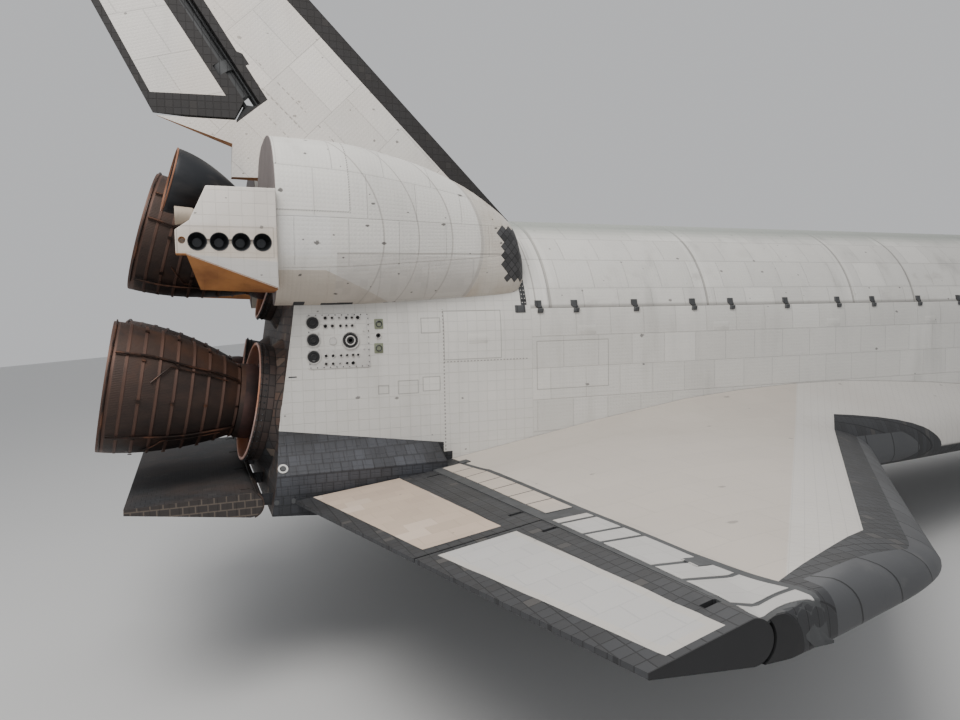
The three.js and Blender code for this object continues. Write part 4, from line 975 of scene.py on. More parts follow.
def engine_bell(shield):
    """Head, bell with its hoops, and the moving ball-shaped shield, along z."""
    throat, end, reach, wall = [BELL[key] for key in ("throat", "exit", "exit_radius", "wall")]
    outer = [(along, bell_radius(along)) for along in spread(throat, end, 70)]
    hooped = [(along, radius) for along, radius in outer if min(abs(b - along) for b in BANDS) >= 45]
    for b in BANDS:
        radius, rise = bell_radius(b), 20 if b < 3400 else 7
        hooped += [(b - 24, bell_radius(b - 24)), (b - 20, radius + rise), (b + 20, radius + rise + 3),
                   (b + 24, bell_radius(b + 24))]
    hooped = sorted(h for h in hooped if h[0] < end - 125)
    rim = [(end - 120, bell_radius(end - 120)), (end - 112, reach - 3), (end - 30, reach + 1),
           (end, reach - 4), (end, reach - wall)]
    inner = [(a, r - wall) for a, r in outer if a < end - 10][1:][::-1]
    head = [(240, 0), (240, 560), (640, 560), (700, 330), (throat - 60, 300)]
    dome, start = shield - 55, 10

    def in_bell(turn):
        (along, radius), = arc(dome, [turn])
        return radius < bell_radius(along) - wall * 0.5

    while in_bell(start):
        start += 0.25
    boot = [(1390, 560), (1390, 690), (1450, 722), (1600, 726), (1740, 700), (1745, 640), (1390, 560)]
    return join(turned(head + hooped + rim + inner + [(throat + 120, 0)], ORIGIN, ALONG, 96),
                ball_band(ORIGIN, ALONG, dome - 28, dome, start, 43), turned(boot, ORIGIN, ALONG, 96))


def bell_point(along, turn, lift):
    r = (bell_radius(along) + lift) * MM
    return Vector((r * math.cos(turn), r * math.sin(turn), along * MM))


def bell_pipes(sign):
    """Drain and vent pipes that lie along and round the bell, outside its hoops."""
    made = []
    for turn, start, end in ((0.62, 1790, 3900), (1.7, 1790, 3900), (2.15, 1800, 3900), (4.1, 1790, 3900),
                             (5.4, 1800, 3880)):
        route = [bell_point(a, sign * turn + sign * 0.012 * math.sin(a / 190), 36 + 6 * math.sin(a / 260))
                 for a in spread(start, end, 120)]
        made.append(tube(route, 20, 10))
        if 2 < turn < 3:
            continue
        turn, end = turn * sign, end - 900
        route = [bell_point(a, turn + sign * 0.10, 34) for a in spread(start + 200, end, 140)]
        route += [bell_point(end + 60 * i, turn + sign * (0.10 + 0.06 * i), 34 + 6 * math.sin(i))
                  for i in range(1, 6)]
        made.append(tube(smooth_route(route, 3), 13, 8))
    turns = [TAU * i / 96 for i in range(8, 90)]
    made.append(tube([bell_point(3960 + 6 * math.sin(3 * t), sign * t, 22) for t in turns], 16, 8))
    for b in BANDS[::2]:
        for t in (TAU * k / 10 + 0.21 for k in range(10)):
            clip = ((t, 20), (t + 0.05, 20), (t + 0.05, 36), (t, 36))
            made.append(loft([[bell_point(b + way, a, lift) for a, lift in clip] for way in (-34, 34)]))
    return gather(made)


def collar(shield):
    """The dark bolted band round a mouth, along z, and the bright lip at its end."""
    lip, rim, root = shield - 120, shield * 0.681, shield * 0.695
    band = turned([(root, rim + 30), (lip - 60, rim + 42), (lip - 52, rim + 60), (lip - 20, rim + 60),
                   (lip - 12, rim + 36), (lip - 12, rim + 16), (root, rim + 6), (root, rim + 30)],
                  ORIGIN, ALONG, 96)
    bright = turned([(lip - 260, rim + 4), (lip - 24, rim + 14), (lip - 14, rim + 46), (lip + 2, rim + 50),
                     (lip + 10, rim + 34), (lip + 6, rim + 2), (lip - 12, rim - 6), (lip - 40, rim - 6),
                     (lip - 260, rim - 8), (lip - 260, rim + 4)], ORIGIN, ALONG, 96)
    return band, bright, lip, rim


def collar_bolts(lip, rim, count=64):
    """Two rows of bolts on the band, heads outward."""
    made = []
    for k in range(count):
        t = TAU * k / count
        out = Vector((math.cos(t), math.sin(t), 0))
        for row in (36, 120):
            foot = out * (rim + (52 if row == 36 else 30)) * MM + ALONG * (lip - row) * MM
            made.append(turned([(0, 0), (0, 15), (18, 15), (25, 8), (25, 0)], foot, out, 8))
    return gather(made)


def pod_bell():
    throat, end, reach = [POD_ENGINE[key] for key in ("throat", "exit", "exit_radius")]
    neck, wall, steps = 95, 20, 28
    curve = [(throat + (end - throat) * t, neck + (reach - neck) * math.sin(t * math.pi / 2) ** 0.95)
             for t in (i / steps for i in range(steps + 1))]
    lip = [(end - 26, reach - 6), (end - 22, reach + 8), (end, reach + 8)]
    inner = [(a, r - wall) for a, r in curve[:0:-1]]
    return turned([(110, 0), (110, 150), (420, 150), (520, neck)] + curve[:-1] + lip + inner
                  + [(throat + 80, 0)], ORIGIN, ALONG, 80)


def flap_seal():
    """A curved strip that closes the gap before the flap's round nose, clear of its swing."""
    turns = [math.radians(d) for d in spread(118, 252, 7)]
    outline = [(FLAP["hinge"] + radius * math.cos(a), FLAP["height"] + radius * math.sin(a))
               for radius, way in ((FLAP["half"] + 7, turns), (FLAP["half"] + 27, turns[::-1])) for a in way]
    return plate(outline, -3235, 3235)


def round_nose(station, y, height, half):
    """The half circle of a moving surface's nose about its hinge, from top to foot."""
    return [at(station + half * math.cos(a), y, height + half * math.sin(a))
            for a in (math.pi / 2 + math.pi * i / 24 for i in range(25))]


def body_flap():
    f = FLAP

    def loop(y):
        return round_nose(f["hinge"], y, f["height"], f["half"]) + [
            at(f["trailing"], y, f["trailing_height"] + way * f["trailing_half"]) for way in (-1, 1)]

    slots = [box(f["hinge"] - 500, f["hinge"] + 135, y - 40 - RUN, y + 40 + RUN, 0, 1200) for y in FLAP_ARMS]
    return cut(loft([loop(-f["half_span"]), loop(f["half_span"])]), *slots)


# Wing

ROOT, TIP, HINGE, KINK = 2672, 11896, 29640, 4524
MAIN_WELL = {"front": 20400, "back": 24500, "inner": 2790, "outer": 4330, "top": 1050}
TIP_OUTLINE = [[10500, 25740], [10700, 25940], [10950, 26300], [11220, 26900], [11480, 27750],
               [11700, 28500], [11860, 29150]]
AIRFOIL = [
    [0, 0, 0, 0], [0.012, 0.2, 0.2, 0.34], [0.05, 0.41, 0.44, 0.66], [0.12, 0.58, 0.66, 0.86],
    [0.25, 0.72, 0.88, 0.98], [0.4, 0.9, 1, 1], [0.55, 1, 0.99, 1], [0.68, 0.94, 0.92, 1],
    [0.82, 0.7, 0.74, 1],
]
AIRFOIL_ROOTED = [[math.sqrt(r[0])] + r[1:] for r in AIRFOIL]
ELEVON_FROM = 3290


def chord_at(y):
    return 32743 - 15240 - 1.17734 * y


def leading_station(y):
    if y <= KINK:
        glove = 7300 + (y - ROOT) * 6.3
        t = (y - ROOT) / (KINK - ROOT)
        return glove + (15240 + KINK - 7300 - (KINK - ROOT) * 6.3) * t ** 6
    return 15240 + y if y <= TIP_OUTLINE[1][0] else pchip(TIP_OUTLINE, y)[1]


def tip_share(y):
    return max(0, (y - ROOT) / (TIP - ROOT))


def lower_height(y):
    return 0.0856 * (y - ROOT) + 160 * tip_share(y) ** 3


def hinge_height(y):
    return 480 + 0.0779 * (y - ELEVON_FROM)


def hinge_half(y):
    return 380 - 0.0209 * (y - ELEVON_FROM)


def trailing_station(y):
    return 32743 - 0.17734 * y


def trailing_height(y):
    return 545 + 0.0612 * (y - ELEVON_FROM)


def wing_high(y):
    return lower_height(y) + chord_at(y) * 0.112 + 372 * max(0, 1 - (y - ROOT) / 1900) ** 1.5


def wing_nose(y):
    return lower_height(y) + 340 - max(0, y - KINK) * 0.03 - 60 * tip_share(y) ** 3


def wing_top(station, y):
    """Height of the wing's upper surface."""
    front = leading_station(y)
    x = (station - front) / (HINGE - front)
    out = min(1, tip_share(y) / tip_share(KINK))
    nose, high = wing_nose(y), wing_high(y)
    if x <= 0.82:
        _, root, outer, _ = pchip(AIRFOIL_ROOTED, math.sqrt(max(0, x)))
        return nose + (high - nose) * (root + (outer - root) * out)
    _, root, outer, _ = AIRFOIL_ROOTED[-1]
    edge = nose + (high - nose) * (root + (outer - root) * out)
    return edge + (hinge_height(y) + hinge_half(y) - edge) * (x - 0.82) / 0.18


CHORD_STOPS = [0, 0.002, 0.006, 0.012, 0.022, 0.035, 0.05, 0.08, 0.12, 0.17, 0.23, 0.3, 0.37, 0.44, 0.51,
               0.58, 0.65, 0.72, 0.77, 0.82]


def wing_loop(y):
    front = leading_station(y)
    nose, low = wing_nose(y), lower_height(y)
    stops = [(x, front + x * (HINGE - front)) for x in CHORD_STOPS]
    upper = [at(s, y, wing_top(s, y)) for _, s in stops]
    lower = [at(s, y, nose - (nose - low) * pchip(AIRFOIL_ROOTED, math.sqrt(x))[3]) for x, s in stops[1:]]
    top, bottom = hinge_height(y) + hinge_half(y), hinge_height(y) - hinge_half(y)
    return [at(HINGE, y, top)] + upper[::-1] + lower + [at(HINGE, y, bottom)]


def wing_spans(low=2300, high=11860):
    stops = spread(2300, 2672, 200) + spread(2672, KINK, 100) + spread(KINK, 10700, 450) + spread(10700,
                                                                                                  11860, 90)
    return [y for y in sorted(set(stops)) if low - 1 <= y <= high + 1]


def hinge_cone(a, b, grow, share):
    return bar(at(HINGE, a, hinge_height(a)), at(HINGE, b, hinge_height(b)),
               hinge_half(a) * share + grow, hinge_half(b) * share + grow, 48)


def edge_region(offset):
    line = [[leading_station(y) + 520 - offset, y] for y in wing_spans(4250, 10950) if y >= 4250]
    line[0][1] += offset
    line += [[27400 - offset, 11020 + offset], [28600 - offset, 11320 + offset], [28600 - offset, 13000]]
    return slab([[15000, 4250 + offset]] + line + [[15000, 13000]], -1000, 4000)


HINGE_LINE = (at(HINGE, 1000, hinge_height(1000)) - at(HINGE, 0, hinge_height(0))).normalized()
LUG_AXES = (Vector((1, 0, 0)), HINGE_LINE, Vector((1, 0, 0)).cross(HINGE_LINE))
ELEVONS = (("inner", 3310, 7925, (3800, 7400)), ("outer", 7960, 11860, (8400, 11400)))


def elevon_lug(y):
    centre = at(HINGE, y, hinge_height(y))
    radius, web = hinge_half(y) * 0.6, hinge_half(y) * 0.35
    pin = bar(centre - HINGE_LINE * 0.04, centre + HINGE_LINE * 0.04, radius, sides=32)
    return join(pin, turned_box(centre, LUG_AXES, ((0, hinge_half(y) * 1.1 + 70), (-40, 40), (-web, web))))


def elevon_slot(y):
    centre = at(HINGE, y, hinge_height(y))
    return turned_box(centre, LUG_AXES,
                      ((-hinge_half(y) * 0.6 - 15, 900), (-40 - RUN, 40 + RUN), (-900, 900)))


def whole_wing():
    return cut(loft([wing_loop(y) for y in wing_spans()]), hinge_cone(2000, 12600, 10, 1.1))


def wing_panel(side):
    w = MAIN_WELL
    well = box(w["front"], w["back"], w["inner"], w["outer"], -400, w["top"])
    flare = box(29300 - SEAM, 33400, 0, 3245 + SEAM, -200, 1760)
    made = cut(whole_wing(), edge_region(0), well, flare)
    made = join(made, *[elevon_lug(y) for e in ELEVONS for y in e[3]])
    return cut(handed(made, side), body(4300, BODY_END, SEAM))


def wing_edge(side):
    return handed(common(whole_wing(), edge_region(SEAM)), side)


def elevon(low, high, lugs):
    def loop(y):
        return round_nose(HINGE, y, hinge_height(y), hinge_half(y)) + [
            at(trailing_station(y), y, trailing_height(y) + way * 28) for way in (-1, 1)]

    return cut(loft([loop(y) for y in spread(low, high, 900)]), *[elevon_slot(y) for y in lugs])


def wing_patch(corners, lift=9, sink=30, pieces=6):
    """A thin plate on the wing's upper surface between four corners given as (station, side)."""
    def spot(u, v):
        (a, b, c, d) = corners
        s = (a[0] * (1 - u) + b[0] * u) * (1 - v) + (d[0] * (1 - u) + c[0] * u) * v
        y = (a[1] * (1 - u) + b[1] * u) * (1 - v) + (d[1] * (1 - u) + c[1] * u) * v
        return s, y

    loops = []
    for i in range(pieces + 1):
        u = i / pieces
        row = [spot(u, v / pieces) for v in range(pieces + 1)]
        loops.append([at(s, y, wing_top(s, y) + lift) for s, y in row]
                     + [at(s, y, wing_top(s, y) - sink) for s, y in reversed(row)])
    return loft(loops)


# Fin, rudder and speed brake

FIN = {"root_station": 26467, "root_height": 5918, "tip_height": 13937, "root_trailing": 33284,
       "slope": 0.493, "tip_leading": 34483, "max_share": 0.6, "lead_slope": 0.0875}
RUDDER = {"low_station": 32537, "low_height": 8255, "top_station": 35814, "top_height": 13538,
          "low_half": 240, "top_half": 150, "knee": (32730, 7900), "trailing_low": 7976, "headroom": 122,
          "lean": 1.18, "barrel": 0.78, "inner": 0.88, "fin": 1.1, "shaft": 45,
          "drums": (8900, 10300, 11600, 12900)}


def fin_leading(z):
    share = (z - FIN["root_height"]) / (FIN["tip_height"] - FIN["root_height"])
    return FIN["root_station"] + (FIN["tip_leading"] - FIN["root_station"]) * share


def fin_trailing(z):
    return FIN["root_trailing"] + FIN["slope"] * (z - FIN["root_height"])


def rudder_share(z):
    return (z - RUDDER["low_height"]) / (RUDDER["top_height"] - RUDDER["low_height"])


def rudder_station(z):
    return RUDDER["low_station"] + (RUDDER["top_station"] - RUDDER["low_station"]) * rudder_share(z)


def rudder_half(z):
    return RUDDER["low_half"] + (RUDDER["top_half"] - RUDDER["low_half"]) * rudder_share(z)


def rudder_point(z):
    return at(rudder_station(z), 0, z)


RUDDER_LINE = (rudder_point(9000) - rudder_point(8000)).normalized()


def fin_loop(z, share=1.0):
    """A double wedge with a round nose."""
    front, back = fin_leading(z), fin_trailing(z)
    crest = front + (back - front) * FIN["max_share"]
    half = (crest - front) * FIN["lead_slope"]
    nose = [(front + 40 - 40 * math.cos(a), 40 * math.sin(a))
            for a in (math.pi / 2 * i / 6 for i in range(7))]
    port = nose + [(crest - 400, half * 0.93), (crest, half), (crest + 300, half * 0.93), (back, 12)]
    return [at(s, y * share, z) for s, y in port] + [at(s, -y * share, z) for s, y in reversed(port[1:])]


def rudder_bar(radius, past=0):
    return bar(rudder_point(RUDDER["low_height"] - 150 - past),
               rudder_point(RUDDER["top_height"] + 230 + past), radius, sides=40)


def fin():
    whole = loft([fin_loop(z) for z in (FIN["root_height"] - 500, 8000, 11000, FIN["tip_height"])])
    reach = RUDDER["lean"] * RUDDER["fin"]
    top = RUDDER["top_height"] + RUDDER["headroom"]
    opening = [(RUDDER["top_station"] - RUDDER["top_half"] * reach, top),
               (RUDDER["low_station"] - RUDDER["low_half"] * reach, RUDDER["low_height"] - 30),
               (RUDDER["knee"][0] - 30, RUDDER["knee"][1] - 40), (36000, RUDDER["trailing_low"] - 40),
               (40000, top)]
    below = [(32835, 6716), (32792, 7389), (34400, 7960), (36500, 7960), (36500, 4000), (31700, 4000),
             (31700, 6716)]
    over_base = common(behind_base(0), box(31000, 37000, -900, 900, 0, 6716))
    return cut(whole, body(25000, BODY_END, SEAM), plate(opening, -700, 700), plate(below, -900, 900),
               over_base, rudder_bar(46, 40))


def rudder_drum(z, share, grow, half=110):
    middle = rudder_point(z)
    a, b = [middle + RUDDER_LINE * (way * (half + grow) * MM) for way in (-1, 1)]
    return bar(a, b, rudder_half(z) * share, sides=32)


def rudder_panel(side):
    def loop(z):
        axis, half = rudder_station(z), rudder_half(z)
        inner = half * RUDDER["inner"]
        back = fin_trailing(z)
        points = [at(axis, side * half, z), at(axis + (back - axis) * 0.5, side * (half * 0.52 + 8), z),
                  at(back, side * 10, z), at(back, side * 3, z)]
        turns = [i / 12 * math.pi / 2 for i in range(13)]
        return points + [at(axis + inner * RUDDER["lean"] * math.cos(a), side * max(3, inner * math.sin(a)),
                            z)
                         for a in turns]

    low, high = RUDDER["low_height"], RUDDER["top_height"]
    whole = loft([loop(z) for z in spread(7800, high, 800)])
    below = [(RUDDER["low_station"] - 600, low + 600 * 0.62), (RUDDER["low_station"], low), RUDDER["knee"],
             (36000, RUDDER["trailing_low"] + 20), (36000, 7000), (31000, 7000)]
    return cut(whole, plate(below, -900, 900), *[rudder_drum(z, 1.12, RUN) for z in RUDDER["drums"]])


def rudder_barrel():
    share = RUDDER["barrel"]
    barrel = bar(rudder_point(RUDDER["low_height"] + 60), rudder_point(RUDDER["top_height"] - 140),
                 RUDDER["low_half"] * share, RUDDER["top_half"] * share, 40)
    return join(barrel, rudder_bar(45), *[rudder_drum(z, 0.98, 0) for z in RUDDER["drums"]])


def rudder_cove():
    """The black trough between the fin and the rudder's barrel, with the block at its foot."""
    turns = [math.radians(d) for d in spread(-40, 40, 10)]

    def curve(z, share, angles):
        radius = rudder_half(z) * share
        return [at(rudder_station(z) - radius * RUDDER["lean"] * math.cos(a), radius * math.sin(a), z)
                for a in angles]

    trough = loft([curve(z, 1.15, turns) + curve(z, 1.05, turns[::-1]) for z in spread(8000, 13640, 500)])
    foot = [(32180, 8225), (32470, 8170), (32600, 8015), (32672, 7882), (32640, 7800), (32180, 7900)]
    web = [(32230, 8215), (32512, 8236), (32692, 7896), (32700, 7830), (32300, 7900)]
    return gather([trough] + [cut(plate(outline, -half, half), rudder_bar(52, 60))
                              for outline, half in ((foot, 150), (web, 16))])


# Pods and thruster housings

POD_SECTIONS = [
    [27290, 1500, 2420, 4050, 5250, 2.2], [27480, 1080, 2640, 3940, 5680, 2.4],
    [27900, 700, 2790, 3920, 6060, 2.5], [28700, 420, 2960, 3920, 6520, 2.6],
    [29900, 260, 3170, 3920, 6900, 2.7], [31200, 210, 3380, 3930, 7090, 2.8],
    [32340, 200, 3470, 3950, 7110, 2.8],
]


def pod_loop(station, sides=88):
    _, inner, outer, bottom, top, roundness = pchip(POD_SECTIONS, station)
    turns = [super_ellipse(TAU * i / sides, roundness) for i in range(sides)]
    return [at(station, (inner + outer) / 2 + (outer - inner) / 2 * c,
               (bottom + top) / 2 + (top - bottom) / 2 * n) for c, n in turns]


def pod(side):
    shape = loft([pod_loop(s) for s in spread(27290, 27900, 45) + spread(27900, 32340, 200)[1:]])
    fin_space = loft([fin_loop(z, 1.03) for z in (5300, 8000)])
    pivot = at(POD_ENGINE["station"], side * POD_ENGINE["side"], POD_ENGINE["height"])
    axis = aim(POD_ENGINE["pitch"], side * POD_ENGINE["yaw"])
    recess = bar(pivot - axis * 0.26, pivot + axis * 0.9, 330, 520, 64)
    bell_space = bar(at(31700, 0, 5060), at(32420, 0, 5060), 960, 1420, 64)
    made = cut(handed(shape, side), body(26000, BODY_END, SEAM), fin_space, recess, bell_space)
    return join(made, *side_ears(pivot, axis, POD_BEARING, 290))


HOUSING = {"front": 32340.5, "back": 33702, "tail": 33928, "inner": 3262, "outer": 3600, "keel": 2760,
           "keel_back": 33776}
JETS = tuple(32580 + 339 * i for i in range(4))


def thruster_housing():
    h = HOUSING
    outline = [(h["front"], 5955), (33435, 5955), (h["back"], 5395), (h["tail"], 5236), (h["tail"], 4850),
               (h["keel_back"], 4850), (h["front"], 4290)]
    made = bevel(plate(outline, h["inner"], h["outer"]), 14, 3)
    ends = [[(h["front"], h["keel"], 4240), (h["front"], h["keel"], 5150),
             (h["front"], h["outer"] - 8, 5150), (h["front"], h["outer"] - 8, 4284)],
            [(h["keel_back"] - 215, h["keel"], 4300), (h["keel_back"] - 215, h["keel"], 5150),
             (h["keel_back"] - 8, h["outer"] - 8, 5150), (h["keel_back"] - 8, h["outer"] - 8, 4842)]]
    keel = loft([[at(*(a * (1 - t) + b * t for a, b in zip(p, q))) for p, q in zip(*ends)]
                 for t in (0, 0.2, 0.4, 0.6, 0.8, 1)])
    made = join(made, keel)
    jets = [bar(at(s, h["outer"] - 240, 5055), at(s, h["outer"] + 60, 5055), 90, 152, 48) for s in JETS]
    links = [box(s + 110, s + 229, h["outer"] - 26, h["outer"] + 60, 5015, 5095) for s in JETS[:3]]
    small = bar(at(33828, h["outer"] - 120, 5070), at(33828, h["outer"] + 60, 5070), 45, 64, 32)
    return cut(made, *jets, *links, small)


# Landing gear


def tyre(wheel, y):
    radius, half = wheel["radius"], wheel["width"] / 2
    wall = [(0.72, 0.52), (0.9, 0.58), (1, 0.72), (0.985, 0.83), (0.9, 0.92), (0.72, 0.975), (0.42, 0.998)]
    profile = [(-half * a, radius * r) for a, r in wall]
    for groove in (-0.26, -0.09, 0.09, 0.26):
        c, w = half * groove * 1.5, half * 0.035
        profile += [(c - w, radius), (c - w * 0.7, radius - 9), (c + w * 0.7, radius - 9), (c + w, radius)]
    profile += [(half * a, radius * r) for a, r in reversed(wall)]
    return turned(profile + [profile[0]], at(wheel["station"], y, axle_height(wheel)), Vector((0, 1, 0)), 96)


def wheel_spots(wheel, centre, count, reach, shift=0):
    """Places round a wheel's axle, as a share of its radius away from it."""
    for a in (TAU * (k + shift) / count for k in range(count)):
        yield centre + Vector((math.cos(a), 0, math.sin(a))) * wheel["radius"] * reach * MM


def hub(wheel, y):
    made = []
    station, radius, offset, height = wheel["station"], wheel["radius"], wheel["offset"], axle_height(wheel)
    half, edge = wheel["width"] * 0.36, radius * 0.52 - SEAM
    for side in (1, -1):
        centre, axis = at(station, y + side * offset, height), Vector((0, side, 0))
        rim = turned([(-half, 0), (-half, edge), (half, edge), (half, edge - 12), (half * 0.86, edge - 20),
                      (half * 0.55, radius * 0.36), (half * 0.5, radius * 0.3), (half * 0.5, 0)], centre,
                      axis, 72)
        holes = [bar(spot + axis * half * 0.2 * MM, spot + axis * (half + 30) * MM, radius * 0.05, sides=16)
                 for spot in wheel_spots(wheel, centre, wheel["spokes"], 0.335)]
        cap = turned([(half * 0.2, 0), (half * 0.2, radius * 0.17), (half * 0.9, radius * 0.15),
                      (half * 1.0, radius * 0.09), (half * 1.0, 0)], centre, axis, 40)
        made.append(join(cut(rim, *holes), cap))
    return join(*made, cross_bar(station, y, height, offset, radius * 0.16, 48))


def hub_bolts(wheel, y):
    head = [(0, 0), (0, 13), (14, 13), (18, 8), (18, 0)]
    made = []
    for side in (1, -1):
        reach = wheel["offset"] + wheel["width"] * 0.36 * 0.46
        centre = at(wheel["station"], y + side * reach, axle_height(wheel))
        made += [turned(head, spot, Vector((0, side, 0)), 6)
                 for spot in wheel_spots(wheel, centre, 12, 0.25, 0.5)]
    return gather(made)


def axle_collar(wheel, y, half, radius, hole):
    s, z = wheel["station"], axle_height(wheel)
    return cut(cross_bar(s, y, z, half, radius, 40), cross_bar(s, y, z, half + 10, hole, 48))


def main_leg(side):
    s, y, axle = MAIN_WHEEL["station"], side * MAIN_WHEEL["side"], axle_height(MAIN_WHEEL)
    walls = [side * v for v in (MAIN_WELL["inner"] + SEAM, MAIN_WELL["outer"] - SEAM)]
    fork = bar(at(s, y, axle + 130), at(s, y, axle + 900), 80)
    reach = 620 - axle - 850
    cylinder = turned([(0, 0), (0, 128), (30, 150), (120, 150), (130, 138), (620, 138), (640, 152),
                       (760, 152), (775, 138), (reach, 138), (reach, 0)], at(s, y, axle + 850), ALONG, 40)
    trunnion = bar(at(s, walls[0], 560), at(s, walls[1], 560), 90)
    brace = bar(at(s - 2100, y, 700), at(s - 60, y, -700), 62)
    sleeve = bar(at(s - 1500, y, 700 - 600 * 1400 / 2040), at(s - 520, y, 700 - 1580 * 1400 / 2040), 82)
    brace_end = bar(at(s - 2100, walls[0], 700), at(s - 2100, walls[1], 700), 70)
    link = plate([(s + 60, axle + 80), (s + 330, axle + 480), (s + 60, axle + 900), (s + 60, axle + 820),
                  (s + 230, axle + 480), (s + 60, axle + 160)], y - 60, y + 60)
    link = cut(link, *[box(s + 110, s + 400, y - 32, y + 32, axle + low, axle + high)
                       for low, high in ((300, 440), (520, 700))])
    return join(fork, cylinder, axle_collar(MAIN_WHEEL, y, 70, 170, 91.2), trunnion, brace, sleeve,
                brace_end, link, cross_bar(s + 282, y, axle + 480, 74, 34))


def leg_hoses(y, reach=150):
    """Hydraulic lines that run down beside a main leg and end just over its axle."""
    axle, base = axle_height(MAIN_WHEEL), at(MAIN_WHEEL["station"], y, 0)
    # Columns: share of the reach along and across the airframe, and the height
    stops = [(1, 1, 480), (1, 1, 200), (1, 1, -200), (1, 1, axle + 900), (1.25, 1.2, axle + 640),
             (1.05, 1, axle + 380), (0.75, 0.7, axle + 190)]
    made = []
    for turn in (0.6, 1.1, 3.9):
        c, n = math.cos(turn) * reach * MM, math.sin(turn) * reach * MM
        route = [Vector((base.x + c * p, base.y + n * q, z * MM)) for p, q, z in stops]
        made.append(tube(smooth_route(route, 5), 11, 8))
    return gather(made)


def nose_leg():
    s, axle = NOSE_WHEEL["station"], axle_height(NOSE_WHEEL)
    low, wall = axle + 620, NOSE_WELL["half"] - SEAM
    cylinder = turned([(0, 0), (0, 100), (20, 115), (90, 115), (100, 104), (400, 104), (410, 118),
                       (500, 118), (512, 104), (1250 - low, 104), (1250 - low, 0)], at(s, 0, low), ALONG, 40)
    brace = bar(at(s - 1300, 0, 1250), at(s - 60, 0, axle + 800), 48)
    sleeve = bar(at(s - 950, 0, 1250 - 350 * (450 - axle) / 1240),
                 at(s - 380, 0, 1250 - 920 * (450 - axle) / 1240), 66)
    lamps = [bar(at(s - 96, y, axle + 905), at(s - 170, y, axle + 895), 46, 62, 28) for y in (-95, 95)]
    bracket = box(s - 110, s - 60, -150, 150, axle + 885, axle + 925)
    return join(cylinder, cross_bar(s, 0, 1180, wall, 80), brace, sleeve,
                cross_bar(s - 1300, 0, 1250, wall, 55), bracket, *lamps)


def nose_fork():
    s, axle = NOSE_WHEEL["station"], axle_height(NOSE_WHEEL)
    piston = bar(at(s, 0, axle + 90), at(s, 0, axle + 620 - RUN), 72)
    foot = turned([(0, 0), (0, 98), (60, 104), (130, 84), (130, 0)], at(s, 0, axle + 95), ALONG, 40)
    link = plate([(s + 50, axle + 120), (s + 210, axle + 340), (s + 60, axle + 560), (s + 60, axle + 500),
                  (s + 140, axle + 340), (s + 50, axle + 190)], -40, 40)
    return join(piston, axle_collar(NOSE_WHEEL, 0, 60, 130, 65.7),
                cut(foot, cross_bar(s, 0, axle, 110, 65.7, 48)), link)


def door_span(side, inner, outer):
    return (inner, outer) if side > 0 else (-outer, -inner)


def nose_door(side):
    w = NOSE_WELL
    stops = spread(w["front"] + 8, w["back"] - 8, 240)
    edge = [(s, section(s)[1] + 40) for s in stops]
    foot = [(s, section(s)[1] - w["half"] + 20) for s in stops[::-1]]
    return bevel(plate(edge + foot, *door_span(side, w["half"] - 50, w["half"] - SEAM)), 8, 2)


def main_door(side):
    w = MAIN_WELL
    front, back, top = w["front"] + 10, w["back"] - 10, lower_height(w["outer"]) + 40
    outline = [(front, top), (back, top), (back, top - 1480), (front, top - 1480)]
    return bevel(plate(outline, *door_span(side, w["outer"] - 60, w["outer"] - SEAM)), 10, 2)


# Finishes

TUBES = 260


